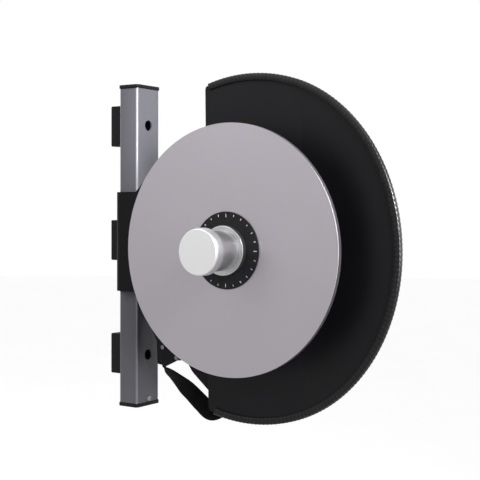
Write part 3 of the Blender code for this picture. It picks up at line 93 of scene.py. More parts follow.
class Look:
    """A finish: a Principled shader with its sockets set by name, and the nodes that feed it."""

    def __init__(self, title, **sockets):
        self.material = bpy.data.materials.new(title)
        self.material.use_nodes = True
        self.tree = self.material.node_tree
        self.shader = self.tree.nodes["Principled BSDF"]
        self.set(**sockets)

    def set(self, **sockets):
        for title, value in sockets.items():
            self.feed(self.shader.inputs[title.replace("_", " ")], value)

    def feed(self, socket, value):
        if isinstance(value, Signal):
            self.tree.links.new(value.socket, socket)
        elif socket.type == "RGBA" and len(value) == 3:
            socket.default_value = (*value, 1)
        else:
            socket.default_value = value

    def node(self, kind, settings=None, sockets=None, output=0):
        return self.outputs(kind, settings, sockets)[output]

    def outputs(self, kind, settings=None, sockets=None):
        """Adds a node and gives all its outputs, by number and by name."""
        made = self.tree.nodes.new(kind)
        for title, value in (settings or {}).items():
            setattr(made, title, value)
        for title, value in (sockets or {}).items():
            self.feed(made.inputs[title], value)
        signals = {number: Signal(self, socket) for number, socket in enumerate(made.outputs)}
        signals.update({socket.name: signals[number] for number, socket in enumerate(made.outputs)})
        return signals

    def place(self):
        return self.node("ShaderNodeTexCoord", output="Object")

    def stretched(self, stretch):
        """Object coordinates scaled by stretch, for a pattern drawn out along an axis."""
        return self.node("ShaderNodeMapping", {}, {"Vector": self.place(), "Scale": stretch})

    def apart_from(self, centre):
        """How far a point lies from centre along X, Y and Z."""
        offset = self.node("ShaderNodeMapping", {}, {"Vector": self.place(), "Location": -centre})
        return self.split(offset)

    def split(self, vector):
        return self.outputs("ShaderNodeSeparateXYZ", {}, {0: vector})

    def noise(self, scale, detail=3, place=None):
        where = place or self.place()
        return self.node("ShaderNodeTexNoise", {}, {"Vector": where, "Scale": scale, "Detail": detail})

    def rings_of_noise(self, steps, detail):
        """Noise that changes along one signal only."""
        sockets = {"W": steps, "Scale": 1, "Detail": detail}
        return self.node("ShaderNodeTexNoise", {"noise_dimensions": "1D"}, sockets)

    def between(self, signal, low, high, start=0.3, end=0.7):
        """Goes from low to high while the signal goes from start to end, by default a noise's range."""
        sockets = {"Value": signal, "From Min": start, "From Max": end, "To Min": low, "To Max": high}
        return self.node("ShaderNodeMapRange", {}, sockets)

    def tint(self, factor, first, second):
        """A mix of two colours, which sockets 6 and 7 of the node take and its output 2 gives."""
        return self.node("ShaderNodeMix", {"data_type": "RGBA"}, {0: factor, 6: first, 7: second}, 2)

    def vary(self, pattern, first, second, rough_first, rough_second):
        """Colour and roughness that follow one pattern."""
        self.set(Base_Color=self.tint(pattern, first, second))
        self.set(Roughness=self.between(pattern, rough_first, rough_second))

    def bump(self, height, distance, strength):
        sockets = {"Height": height, "Distance": distance, "Strength": strength}
        self.set(Normal=self.node("ShaderNodeBump", {}, sockets))


floor_height = -0.62
floor_radius = 9
glow_strength = 1.8
glow_share = 0.5
floor_look = Look("pale_floor")
floor_look.vary(floor_look.noise(6), (0.81, 0.81, 0.81), (0.83, 0.83, 0.83), 0.72, 0.88)
floor_rays = floor_look.outputs("ShaderNodeLightPath")
floor_seen = floor_rays["Is Camera Ray"] + floor_rays["Is Glossy Ray"] + floor_rays["Is Transmission Ray"]
glow = floor_look.node("ShaderNodeEmission", {}, {"Color": (1, 1, 1), "Strength": glow_strength})
lit = Signal(floor_look, floor_look.shader.outputs[0])
lifted = floor_look.node("ShaderNodeMixShader", {}, {0: floor_seen * glow_share, 1: lit, 2: glow})
floor_look.feed(floor_look.tree.nodes["Material Output"].inputs["Surface"], lifted)

build = bmesh.new()
bmesh.ops.create_circle(build, cap_ends=True, segments=96, radius=floor_radius)
bmesh.ops.translate(build, verts=build.verts, vec=(0, 0, floor_height))
floor_mesh = bpy.data.meshes.new("floor")
build.to_mesh(floor_mesh)
build.free()
floor = bpy.data.objects.new("floor", floor_mesh)
floor_mesh.materials.append(floor_look.material)
bpy.context.scene.collection.objects.link(floor)

world = bpy.data.worlds.new("studio")
bpy.context.scene.world = world
world.use_nodes = True
world_nodes = world.node_tree.nodes
ambient = world_nodes["Background"]
ambient.inputs["Color"].default_value = (0.96, 0.97, 1.0, 1)
ambient.inputs["Strength"].default_value = 0.06
backdrop = world_nodes.new("ShaderNodeBackground")
backdrop.inputs["Color"].default_value = (1, 1, 1, 1)
chooser = world_nodes.new("ShaderNodeMixShader")
rays = world_nodes.new("ShaderNodeLightPath")
seen_or_mirrored = world_nodes.new("ShaderNodeMath")
seen_or_through = world_nodes.new("ShaderNodeMath")
for source, target in (
        (rays.outputs["Is Camera Ray"], seen_or_mirrored.inputs[0]),
        (rays.outputs["Is Glossy Ray"], seen_or_mirrored.inputs[1]),
        (seen_or_mirrored.outputs[0], seen_or_through.inputs[0]),
        (rays.outputs["Is Transmission Ray"], seen_or_through.inputs[1]),
        (seen_or_through.outputs[0], chooser.inputs[0]),
        (ambient.outputs[0], chooser.inputs[1]),
        (backdrop.outputs[0], chooser.inputs[2]),
        (chooser.outputs[0], world_nodes["World Output"].inputs["Surface"])):
    world.node_tree.links.new(source, target)


def softbox(title, place, target, width, height, power, spread):
    """An area lamp at place that faces target. Its light fans out over spread degrees."""
    lamp = bpy.data.lights.new(title, "AREA")
    lamp.shape = "RECTANGLE"
    lamp.size = width
    lamp.size_y = height
    lamp.energy = power
    lamp.spread = math.radians(spread)
    made = bpy.data.objects.new(title, lamp)
    made.location = place
    made.rotation_euler = (Vector(place) - Vector(target)).to_track_quat("Z", "Y").to_euler()
    bpy.context.scene.collection.objects.link(made)


softbox("upper_left", (-0.4, -1.0, 1.6), (0.1, 0, 0.2), width=0.8, height=0.8, power=8, spread=180)
softbox("front_left", (-1.0, -1.8, 1.25), (0.2, 0, 0.2), width=1.1, height=1.1, power=1.3, spread=60)
softbox("right_upper", (1.6, -0.5, 1.0), (0.1, 0, 0.05), width=0.5, height=0.5, power=3.1, spread=50)
softbox("right_strip", (2.1, -0.95, 0.35), (0.25, 0, 0), width=0.25, height=1.6, power=3.2, spread=60)


# Pull strap: flat black webbing, 25 mm wide and 2 mm thick, woven from polyester.
# It runs from the roll between the guide rollers, hangs in a twisted loop and ends in a sewn eye on
# the carabiner's bottom bar.
strap_width = 0.025
strap_thickness = 0.002
clearance = 0.0003
shaft = Vector((0.266, 0, -0.0072))
spool_offset = 0.012
roll_radius = 0.049
roller_radius = 0.005
guide_middle = Vector((shaft.x - 0.1377, shaft.z - 0.1533))
guide_lean = math.radians(62.1)
guide_across = Vector((-math.sin(guide_lean), math.cos(guide_lean)))
axle_pitch = 0.0283
upper_axle = guide_middle + guide_across * axle_pitch / 2
bar_x = shaft.x - 0.012
bar_z = shaft.z - 0.0928
bar_radius = 0.005
wire_radius = 0.003
carabiner_length = 0.062
carabiner_bottom = bar_z + bar_radius + clearance + wire_radius - carabiner_length
sideways = 0.003
eye_slack = 0.0007
seam_top = -0.014
seam_bottom = -0.028
strap_step = 0.0015
cord_pitch = 0.0016
pick_pitch = 0.0011


def strap_stations():
    """Places along the strap's middle, and the way that its width points there."""
    flat = Vector((0, -1, 0))
    side = strap_thickness / 2 + clearance
    past = upper_axle - guide_across * (roller_radius + side)
    to_shaft = Vector((shaft.x, shaft.z)) - past
    lean = math.asin((roll_radius + side) / to_shaft.length)
    run = Matrix.Rotation(lean, 2) @ to_shaft.normalized()
    reach = to_shaft.length * math.cos(lean)
    stations = []
    for share in (1, 0.75, 0.5, 0.25, 0.05):
        spot = past + run * reach * share
        stations.append(((spot.x, -spool_offset - sideways * (1 - share), spot.y), flat))
    stations += [
        ((0.1165, -0.0165, -0.1680), Vector((0.10, -1.00, 0.05))),
        ((0.1085, -0.0185, -0.1785), Vector((0.35, -0.93, 0.10))),
        ((0.1060, -0.0200, -0.1866), Vector((0.50, -0.80, 0.33))),
        ((0.1147, -0.0190, -0.1936), Vector((0.55, -0.61, 0.57))),
        ((0.1247, -0.0180, -0.1998), Vector((0.60, -0.43, 0.68))),
        ((0.1337, -0.0172, -0.2061), Vector((0.62, -0.21, 0.76))),
        ((0.1415, -0.0157, -0.2121), Vector((0.60, 0.05, 0.80))),
        ((0.1525, -0.0135, -0.2210), Vector((0.60, 0.22, 0.76))),
        ((0.1606, -0.0114, -0.2288), Vector((0.58, 0.36, 0.73))),
        ((0.1697, -0.0101, -0.2366), Vector((0.50, 0.42, 0.75))),
        ((0.1785, -0.0090, -0.2437), Vector((0.40, 0.50, 0.77))),
        ((0.1925, -0.0080, -0.2479), Vector((0.15, 0.80, 0.58))),
        ((0.2057, -0.0070, -0.2461), Vector((-0.10, 0.95, 0.30))),
        ((0.2215, -0.0060, -0.2350), Vector((-0.40, 0.90, 0.15))),
        ((0.2365, -0.0045, -0.2180), Vector((-0.65, 0.75, 0.10))),
        ((0.2480, -0.0030, -0.2010), Vector((-0.88, 0.45, 0.05))),
    ]
    wrap = wire_radius + side + eye_slack
    eye = [(-side, seam_bottom), (-side, seam_top), (-wrap, -clearance)]
    eye += [(-wrap * math.cos(math.radians(angle)), wrap * math.sin(math.radians(angle)))
            for angle in (45, 90, 135)]
    eye += [(wrap, -clearance), (side, seam_top), (side, seam_bottom)]
    stations += [((bar_x, y, carabiner_bottom + z), Vector((-1, 0, 0))) for y, z in eye]
    return stations


def spline_through(rows, spacing):
    """A natural cubic spline through rows of numbers, read about every spacing along the first three."""
    rows = np.array(rows)
    steps = np.linalg.norm(np.diff(rows[:, :3], axis=0), axis=1)
    knots = np.concatenate([[0], np.cumsum(steps)])
    count = len(rows)
    bending = np.eye(count)
    pull = np.zeros_like(rows)
    for index in range(1, count - 1):
        before = knots[index] - knots[index - 1]
        after = knots[index + 1] - knots[index]
        bending[index, index - 1:index + 2] = (before / 6, (before + after) / 3, after / 6)
        pull[index] = (rows[index + 1] - rows[index]) / after - (rows[index] - rows[index - 1]) / before
    curved = np.linalg.solve(bending, pull)
    places = np.linspace(0, knots[-1], round(knots[-1] / spacing) + 1)
    lower = np.clip(np.searchsorted(knots, places, side="right") - 1, 0, count - 2)
    width = (knots[lower + 1] - knots[lower])[:, None]
    right = (places[:, None] - knots[lower][:, None]) / width
    left = 1 - right
    return (left * rows[lower] + right * rows[lower + 1]
            + ((left**3 - left) * curved[lower] + (right**3 - right) * curved[lower + 1]) * width**2 / 6)


def piece_from(title, build, sharp=35):
    """Makes an object of a finished bmesh, smooth but for edges sharper than sharp degrees."""
    mesh = bpy.data.meshes.new(title)
    build.to_mesh(mesh)
    build.free()
    mesh.shade_smooth()
    mesh.set_sharp_from_angle(angle=math.radians(sharp))
    made = bpy.data.objects.new(title, mesh)
    bpy.context.scene.collection.objects.link(made)
    return made


def fit(piece, look, body, slot, *nodes):
    """Gives a piece its finish, the body that it moves with, and the nodes it stands for. Its slot is not
    used.
    """
    piece.data.materials.clear()
    piece.data.materials.append(look.material)
    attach(piece, body)
    if nodes:
        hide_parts(*nodes)
    return piece


webbing = Look("black_webbing", Sheen_Weight=0.03, Specular_IOR_Level=0.08)
woven = webbing.split(webbing.node("ShaderNodeUVMap", {"uv_map": "weave"}))
cords = (woven["X"] * (2 * math.pi / cord_pitch)).math("SINE")
picks = (woven["Y"] * (2 * math.pi / pick_pitch) + cords * 1.2).math("SINE")
weave = cords * 0.3 + picks * 0.5 + 0.5
webbing.vary(weave, (0.002, 0.002, 0.0025), (0.008, 0.008, 0.009), 0.88, 0.68)
webbing.bump(weave, distance=0.0003, strength=0.8)

strap_rows = spline_through([(*where, *width) for where, width in strap_stations()], strap_step)
strap_middles = [Vector(row[:3]) for row in strap_rows]
edge_round = strap_thickness / 2
section = []
for angle in range(-90, 91, 30):
    turn = math.radians(angle)
    section.append((strap_width / 2 - edge_round * (1 - math.cos(turn)), edge_round * math.sin(turn)))
section += [(-x, -y) for x, y in section]
build = bmesh.new()
loops = []
travelled = 0
measures = []
for index, where in enumerate(strap_middles):
    ahead = strap_middles[min(index + 1, len(strap_middles) - 1)] - strap_middles[max(index - 1, 0)]
    width = Vector(strap_rows[index][3:])
    width = (width - width.project(ahead)).normalized()
    depth = ahead.cross(width).normalized()
    loops.append([build.verts.new(where + width * x + depth * y) for x, y in section])
    measures.append(travelled)
    if index + 1 < len(strap_middles):
        travelled += (strap_middles[index + 1] - where).length
weave_map = build.loops.layers.uv.new("weave")
for ring_number, (before, after) in enumerate(zip(loops, loops[1:])):
    for side in range(len(section)):
        corners = ((before, side, 0), (before, side - 1, 0), (after, side - 1, 1), (after, side, 1))
        face = build.faces.new([ring[number] for ring, number, _ in corners])
        for corner, (_, number, step) in zip(face.loops, corners):
            corner[weave_map].uv = (section[number][0], measures[ring_number + step])
build.faces.new(loops[0])
build.faces.new(reversed(loops[-1]))
bmesh.ops.recalc_face_normals(build, faces=build.faces)
strap = fit(piece_from("pull_strap_webbing", build), webbing, "carriage", "strap_webbing", "pull_strap")


# Cut, moulded and turned pieces: most keep the solid's own shape, with their edges broken as a real
# part's are. The large turned ones are spun again about the shaft, in finer steps.
merge_distance = 0.000005
flat_within = math.radians(0.5)
bevelled_beyond = math.radians(40)


def smooth_copy(node, edge=0.0, sharp=35):
    """The solid of a node, merged, and bevelled by edge."""
    build = bmesh.new()
    build.from_mesh(bpy.data.objects[node].data)
    bmesh.ops.remove_doubles(build, verts=build.verts, dist=merge_distance)
    bmesh.ops.dissolve_limit(build, angle_limit=flat_within, verts=build.verts, edges=build.edges)
    made = piece_from(node + "_piece", build, sharp)
    if edge:
        bevel = made.modifiers.new("broken_edges", "BEVEL")
        bevel.width = edge
        bevel.segments = 2
        bevel.limit_method = "ANGLE"
        bevel.angle_limit = bevelled_beyond
        bevel.harden_normals = True
    return made


def spun(title, profile, steps=96, edge=0.0, closed=True, sharp=35):
    """A turned piece: a profile of (radius, distance to the front) spun about the shaft's middle line.
    Its sharp edges are rounded by edge."""
    build = bmesh.new()
    rim = [build.verts.new((radius, 0, height)) for radius, height in profile]
    lines = [build.edges.new(pair) for pair in zip(rim, rim[1:])]
    if closed:
        lines.append(build.edges.new((rim[-1], rim[0])))
    bmesh.ops.spin(build, geom=rim + lines, cent=(0, 0, 0), axis=(0, 0, 1), angle=2 * math.pi,
                   steps=steps, use_merge=True)
    bmesh.ops.remove_doubles(build, verts=build.verts, dist=merge_distance)
    bmesh.ops.recalc_face_normals(build, faces=build.faces)
    if edge:
        corners = [line for line in build.edges
                   if len(line.link_faces) == 2 and line.calc_face_angle() > math.radians(sharp)]
        bmesh.ops.bevel(build, geom=corners, affect="EDGES", offset=edge, segments=3, profile=0.5,
                        material=-1, clamp_overlap=True)
    facing_front = Vector((0, 0, 1)).rotation_difference(Vector((0, -1, 0))).to_matrix().to_4x4()
    on_shaft = Matrix.Translation((shaft.x, 0, shaft.z))
    bmesh.ops.transform(build, matrix=on_shaft @ facing_front, verts=build.verts)
    made = piece_from(title, build, sharp)
    made.modifiers.new("flat_faces", "WEIGHTED_NORMAL").keep_sharp = True
    return made


# Carabiner: 6 mm steel wire bent to a hook and plated, with a sprung gate on a pin.
# It hangs on the plate bar, with the strap's eye, sewn in a box of stitches, round its bottom, so it
# is part of the hanging cord.
plated_wire = Look("plated_wire", Metallic=1.0)
wire_cloud = plated_wire.noise(150, 3)
plated_wire.vary(wire_cloud, (0.55, 0.55, 0.56), (0.70, 0.70, 0.70), 0.14, 0.26)
plated_wire.bump(wire_cloud, distance=0.00004, strength=0.3)
thread = Look("black_bonded_thread", Specular_IOR_Level=0.2)
thread.vary(thread.noise(3000, 2), (0.010, 0.010, 0.011), (0.030, 0.030, 0.032), 0.5, 0.65)
stitch_across = (0.0021, 0.0005, 0.0006)
stitch_along = (0.0006, 0.0005, 0.0019)
stitch_edge = 0.00015
box_ends = (-0.0165, -0.0265)
box_sides = (-0.0105, 0.0105)
stitches = []
for z in box_ends:
    stitches += [(x, z, stitch_across) for x in np.arange(-0.009, 0.0091, 0.003)]
for x in box_sides:
    stitches += [(x, z, stitch_along) for z in (-0.0190, -0.0215, -0.0240)]
build = bmesh.new()
for side in (-1, 1):
    for x, z, lengths in stitches:
        made = bmesh.ops.create_cube(build, size=1)
        bmesh.ops.scale(build, verts=made["verts"], vec=lengths)
        bmesh.ops.translate(build, verts=made["verts"],
                            vec=(bar_x + x, side * (strap_thickness + clearance), carabiner_bottom + z))
bmesh.ops.bevel(build, geom=build.edges[:], affect="EDGES", offset=stitch_edge, segments=2,
                profile=0.5, material=-1)
seam = fit(piece_from("strap_seam", build), thread, "carriage", "strap_webbing")
hook = smooth_copy("carabiner_body", sharp=60)
fit(hook, plated_wire, "carriage", "carabiner_steel", "carabiner_body")
gate = smooth_copy("carabiner_gate", edge=0.0003)
fit(gate, plated_wire, "gate", "carabiner_steel", "carabiner_gate")


# Wall pads and end caps: moulded in black plastic with a fine spark-eroded grain.
# The pads carry the post off the wall, and the caps push into its ends.
def grained_plastic(title, colour, rough):
    look = Look(title, Specular_IOR_Level=0.12)
    cloud = look.noise(45, 3)
    look.set(Base_Color=look.tint(look.between(cloud, 0, 1), colour, [tone * 1.5 for tone in colour]))
    look.set(Roughness=look.between(cloud, rough - 0.06, rough + 0.06))
    look.bump(look.noise(2600, 2), distance=0.00006, strength=0.5)
    return look


cap_plastic = grained_plastic("black_moulded_plastic", (0.010, 0.010, 0.011), 0.5)
for node in ("wall_pad_top", "wall_pad_middle", "wall_pad_bottom"):
    fit(smooth_copy(node, edge=0.0006), cap_plastic, "rail", "cap_plastic", node)
for node in ("top_cap", "bottom_cap"):
    fit(smooth_copy(node, edge=0.0003), cap_plastic, "rail", "cap_plastic", node)


# Post: a rectangular steel tube in grey metallic paint under a satin clear coat.
# Its wall is 3 mm, and two holes in front let a socket through to the wall bolts.
post_middle = Vector((0.0415, 0, 0))
front_wear_and_highlight = (0.0142, 0.0162)
side_wear_and_highlight = (0.0232, 0.0252)
highlight_heights = (-0.14, 0.05)
post_paint = Look("grey_metallic_paint", Specular_IOR_Level=0.15, Coat_Weight=0.15, Coat_Roughness=0.2)
flakes = post_paint.node("ShaderNodeTexVoronoi", {}, {"Vector": post_paint.place(), "Scale": 1900}, 1)
flake = post_paint.node("ShaderNodeSeparateColor", {}, {0: flakes})
post_cloud = post_paint.noise(18, 4)
post_shade = flake * 0.25 + post_cloud * 0.3 + 0.25
painted = post_paint.tint(post_shade, (0.136, 0.135, 0.155), (0.243, 0.241, 0.276))
# The corners are painted as bright bare metal, partly wear and partly a painted highlight, painted weaker
# towards the bottom where the post lies in shade.
from_middle = post_paint.apart_from(post_middle)
near_front = post_paint.between(from_middle["X"].math("ABSOLUTE"), 0, 1, *front_wear_and_highlight)
near_side = post_paint.between(from_middle["Y"].math("ABSOLUTE"), 0, 1, *side_wear_and_highlight)
highlight_by_height = post_paint.between(from_middle["Z"], 0.3, 1.0, *highlight_heights)
wear_and_highlight = near_front * near_side * highlight_by_height * post_paint.between(post_cloud, 0.8, 1.0)
post_paint.set(Base_Color=post_paint.tint(wear_and_highlight, painted, (0.66, 0.66, 0.68)))
post_paint.set(Metallic=wear_and_highlight * 0.9, Roughness=post_paint.between(post_cloud, 0.34, 0.46))
post_paint.bump(post_paint.noise(320, 2), distance=0.00008, strength=0.35)
fit(smooth_copy("post_tube", edge=0.0004), post_paint, "rail", "grey_paint", "post_tube")


# Wall bolts and stop screw: zinc-plated steel with fine turning marks, tightened by a socket.
# The bolts show only through the access holes, and the screw holds the bottom cap.
def plated_steel(title, dark, light):
    look = Look(title, Metallic=1.0)
    marks = look.noise(900, 4)
    look.set(Base_Color=look.tint(look.noise(120, 3), dark, light))
    look.set(Roughness=look.between(marks, 0.24, 0.38))
    look.bump(marks, distance=0.00003, strength=0.4)
    return look


zinc = plated_steel("zinc_plated_steel", (0.50, 0.50, 0.51), (0.68, 0.68, 0.67))
# The stop screw's plating is a darker copy of the zinc: painted shade, low on the post.
shaded_zinc = plated_steel("shaded_zinc_plating", (0.20, 0.20, 0.21), (0.30, 0.30, 0.31))
for node in ("wall_bolt_top", "wall_bolt_bottom"):
    fit(smooth_copy(node, edge=0.0003), zinc, "rail", "fastener_steel", node)
fit(smooth_copy("stop_screw", edge=0.0003), shaded_zinc, "rail", "fastener_steel", "stop_screw")


# Carriage: a folded sleeve and two 4 mm plates, powder coated black.
# The plates are welded to the sleeve's sides, and plastic glides line the sleeve.
powder_coat = Look("black_powder_coat", Specular_IOR_Level=0.1)
powder_coat.vary(powder_coat.noise(30, 3), (0.003, 0.0028, 0.0038), (0.0065, 0.006, 0.008), 0.34, 0.5)
powder_coat.bump(powder_coat.noise(1100, 2), distance=0.00012, strength=0.5)
for node in ("sleeve", "near_plate", "far_plate", "clamp_boss"):
    fit(smooth_copy(node, edge=0.0006), powder_coat, "carriage", "carriage_black", node)
glide_plastic = grained_plastic("pale_glide_plastic", (0.42, 0.42, 0.40), 0.5)
for node in ("glide_near", "glide_far"):
    fit(smooth_copy(node, edge=0.0002), glide_plastic, "carriage", "glide_plastic", node)


# Housings: turned steel flanges with a deep barrel, powder coated and fixed by three screws each.
# Sealed bearings sit in them, with bright rings and pressed shields.
for node in ("front_housing", "rear_housing"):
    fit(smooth_copy(node, edge=0.0004), powder_coat, "carriage", "carriage_black", node)
for end in ("front", "rear"):
    for number in (1, 2, 3):
        node = f"{end}_screw_{number}"
        fit(smooth_copy(node, edge=0.0003), zinc, "carriage", "fastener_steel", node)
ground_steel = Look("ground_steel", Metallic=1.0)
ground_lines = ground_steel.noise(1, 3, ground_steel.stretched((300, 4000, 300)))
ground_steel.vary(ground_lines, (0.50, 0.50, 0.51), (0.64, 0.64, 0.64), 0.16, 0.30)
ground_steel.bump(ground_lines, distance=0.00002, strength=0.3)
for node, body in (("front_bearing_outer", "carriage"), ("rear_bearing_outer", "carriage"),
                   ("front_bearing_inner", "flywheel"), ("rear_bearing_inner", "flywheel")):
    fit(smooth_copy(node, edge=0.0002), ground_steel, body, "bearing_steel", node)


# Guard: 2.5 mm steel sheet, cut round with a straight side by the wall and folded once.
# It is powder coated dark grey, clamped under the front housing and nutted to the near plate's foot.
guard_coat = Look("dark_guard_coat", Specular_IOR_Level=0.13)
guard_coat.vary(guard_coat.noise(9, 3), (0.005, 0.005, 0.0062), (0.0085, 0.0085, 0.0103), 0.36, 0.46)
guard_coat.bump(guard_coat.noise(900, 2), distance=0.0001, strength=0.4)
fit(smooth_copy("guard_sheet", edge=0.0004, sharp=20), guard_coat, "carriage", "guard_black", "guard_sheet")
fit(smooth_copy("guard_nut", edge=0.0003), zinc, "carriage", "fastener_steel", "guard_nut")


# Guard trim: a black rubber edging with a U section and fine ribs across its back, pushed over the
# guard's arc so that it follows the fold. Its rib crests carry a painted highlight, strongest low
# down, and its back is shiny at hand height.
guard_radius = 0.2385
guard_middle = -0.03695
guard_straight_side = -0.0704
fold_x = shaft.x + 0.0863
fold_angle = math.radians(7.4)
guard_turn = math.radians(0.92)
trim_outer = guard_radius + 0.0028
trim_inner = trim_outer - 0.010
trim_side = 0.004
trim_slot = 0.00155
trim_lip = 0.0006
trim_crown = 0.0025
back_begins = guard_radius + 0.001
hair = 0.0001
bare_above = 0.007
barer_below = 0.004
trim_above = math.acos(guard_straight_side / guard_radius) - bare_above / guard_radius
trim_below = trim_above - barer_below / guard_radius
trim_span = trim_above + trim_below
rib_pitch = 0.0064
rib_depth = 0.00035
rib_count = round(trim_span * trim_outer / rib_pitch)
rings_per_rib = 8
shiny_middle = math.radians(7)
shiny_fade = math.radians(13)
least_shiny = 0.12
crest_highlight_from = math.radians(8)
least_crest_highlight = 0.25

trim_section = [
    (trim_inner, trim_side - trim_lip), (trim_inner, trim_slot), (guard_radius + clearance, trim_slot),
    (guard_radius + clearance, -trim_slot), (trim_inner, -trim_slot), (trim_inner, trim_lip - trim_side),
    (trim_inner + trim_lip, -trim_side),
]
for angle in (-75, -50, -25, 0, 25, 50, 75):
    turn = math.radians(angle)
    trim_section.append((trim_outer - trim_crown * (1 - math.cos(turn)), trim_side * math.sin(turn)))
trim_section.append((trim_inner + trim_lip, trim_side))
build = bmesh.new()
first = Matrix.Rotation(trim_below, 4, "Y")
face = build.faces.new([build.verts.new(first @ Vector((radius, y, 0))) for radius, y in trim_section])
bmesh.ops.spin(build, geom=[face], cent=(0, 0, 0), axis=(0, 1, 0), angle=-trim_span,
               steps=rib_count * rings_per_rib, use_merge=False)
crest = build.verts.layers.float.new("crest")
back_crest = build.verts.layers.float.new("back_crest")
for vert in build.verts:
    radius = math.hypot(vert.co.x, vert.co.z)
    on_back = radius > back_begins
    if on_back or abs(vert.co.y) > trim_slot + hair:
        around = math.atan2(vert.co.z, vert.co.x)
        rib = (around + trim_below) / trim_span * rib_count
        sink = rib_depth * (0.5 - 0.5 * math.cos(2 * math.pi * rib))
        # How strongly the crests' painted highlight shows: fully low down, less higher up.
        crest_highlight = min(1, max(least_crest_highlight, (crest_highlight_from - around) / shiny_fade))
        vert[crest] = 0.5 + crest_highlight * (0.5 - sink / rib_depth)
        if on_back:
            handled = min(1, max(least_shiny, 1.6 - abs(around - shiny_middle) / shiny_fade))
            vert[back_crest] = handled * (0.7 + 0.3 * vert[crest])
            vert.co.x -= vert.co.x / radius * sink
            vert.co.z -= vert.co.z / radius * sink
        vert.co.y -= math.copysign(sink * 0.5, vert.co.y) * (abs(vert.co.y) > hair)
bmesh.ops.translate(build, verts=build.verts, vec=(shaft.x, guard_middle, shaft.z))
outboard = [vert for vert in build.verts if vert.co.x > fold_x]
bmesh.ops.rotate(build, verts=outboard, cent=(fold_x, guard_middle, 0),
                 matrix=Matrix.Rotation(-fold_angle, 3, "Z"))
bmesh.ops.rotate(build, verts=build.verts, cent=shaft, matrix=Matrix.Rotation(-guard_turn, 3, "Y"))
bmesh.ops.recalc_face_normals(build, faces=build.faces)

trim_rubber = Look("black_trim_rubber", Specular_IOR_Level=0.2, Coat_IOR=1.9, Coat_Roughness=0.3)
rib_crests = trim_rubber.node("ShaderNodeAttribute", {"attribute_name": "crest"}, output="Fac")
shiny_back = trim_rubber.node("ShaderNodeAttribute", {"attribute_name": "back_crest"}, output="Fac")
# The rib crests are painted lighter as a painted highlight, over a random tone from the noise.
trim_shade = rib_crests * 0.6 + trim_rubber.between(trim_rubber.noise(60, 3), 0.05, 0.25)
trim_rubber.set(Base_Color=trim_rubber.tint(trim_shade, (0.0015, 0.0015, 0.002), (0.016, 0.016, 0.018)))
trim_rubber.set(Roughness=trim_rubber.between(trim_shade, 0.6, 0.35, 0, 1))
trim_rubber.set(Coat_Weight=shiny_back)
trim_rubber.bump(trim_rubber.noise(1500, 2), distance=0.00005, strength=0.4)
fit(piece_from("guard_edging", build, 50), trim_rubber, "carriage", "trim_rubber", "guard_trim")


# Strap guide and plate bar: two plain plastic rollers on blackened steel axles, and a turned bar.
# All three span the gap between the plates.
roller_plastic = grained_plastic("black_roller_plastic", (0.016, 0.016, 0.017), 0.42)
for side in ("upper", "lower"):
    roller = smooth_copy(f"{side}_roller", edge=0.0005)
    fit(roller, roller_plastic, f"guide_roller_{side}", "roller_plastic", f"{side}_roller")
axle_steel = Look("blackened_steel", Metallic=0.9)
axle_cloud = axle_steel.noise(240, 3)
axle_steel.vary(axle_cloud, (0.10, 0.10, 0.104), (0.20, 0.20, 0.20), 0.30, 0.42)
axle_steel.bump(axle_cloud, distance=0.00003, strength=0.4)
for node in ("upper_axle", "lower_axle"):
    fit(smooth_copy(node, edge=0.0003), axle_steel, "carriage", "fastener_steel", node)
fit(smooth_copy("plate_bar", edge=0.0003), zinc, "carriage", "fastener_steel", "plate_bar")


# Clamp: a lobed plastic knob on a steel stud, which presses a pad on the post's far side.
# The stud runs in a boss welded to the far plate.
knob_plastic = grained_plastic("black_knob_plastic", (0.012, 0.012, 0.012), 0.45)
fit(smooth_copy("clamp_knob", edge=0.0004), knob_plastic, "clamp_handle", "knob_plastic", "clamp_knob")
fit(smooth_copy("clamp_stud", edge=0.0003), zinc, "clamp_handle", "fastener_steel", "clamp_stud")
fit(smooth_copy("clamp_pad", edge=0.0003), glide_plastic, "pressure_pad", "glide_plastic", "clamp_pad")


# Shaft and drive: a ground steel shaft with a pressed flange, whose three pins turn the disc.
# A hexagon nut closes the stack behind the rear bearing.
turned_steel = Look("turned_steel", Metallic=1.0)
turned_lines = turned_steel.noise(1, 3, turned_steel.stretched((200, 2600, 200)))
turned_steel.vary(turned_lines, (0.42, 0.42, 0.43), (0.58, 0.58, 0.58), 0.24, 0.38)
turned_steel.bump(turned_lines, distance=0.00003, strength=0.4)
for node in ("shaft", "drive_flange", "drive_pin_1", "drive_pin_2", "drive_pin_3"):
    fit(smooth_copy(node, edge=0.0003), turned_steel, "flywheel", "shaft_steel", node)
fit(smooth_copy("shaft_nut", edge=0.0006), zinc, "flywheel", "fastener_steel", "shaft_nut")


# Flywheel: a satin aluminium disc, 340 mm across and 7.2 mm thick, brushed as it turned.
# It is bare, slides over the shaft and the drive pins, and is held by the knob.
shaft_bore = 0.0128
disc_low, disc_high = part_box("flywheel_disc")
disc_radius = (disc_high[0] - disc_low[0]) / 2
disc_back = -disc_high[1]
disc_front = -disc_low[1]
disc_edge = 0.0003
brushed_lines = 900
disc_profile = [
    (disc_radius - disc_edge, disc_front), (disc_radius, disc_front - disc_edge),
    (disc_radius, disc_back + disc_edge), (disc_radius - disc_edge, disc_back),
    (shaft_bore, disc_back), (shaft_bore, disc_front),
]
disc_metal = Look("brushed_aluminium", Metallic=0.85)
apart = disc_metal.apart_from(shaft)
out = (apart["X"] * apart["X"] + apart["Z"] * apart["Z"]).math("SQRT")
rings = disc_metal.rings_of_noise(out * brushed_lines, 3)
brushed = rings * 0.6 + disc_metal.noise(7, 3) * 0.4
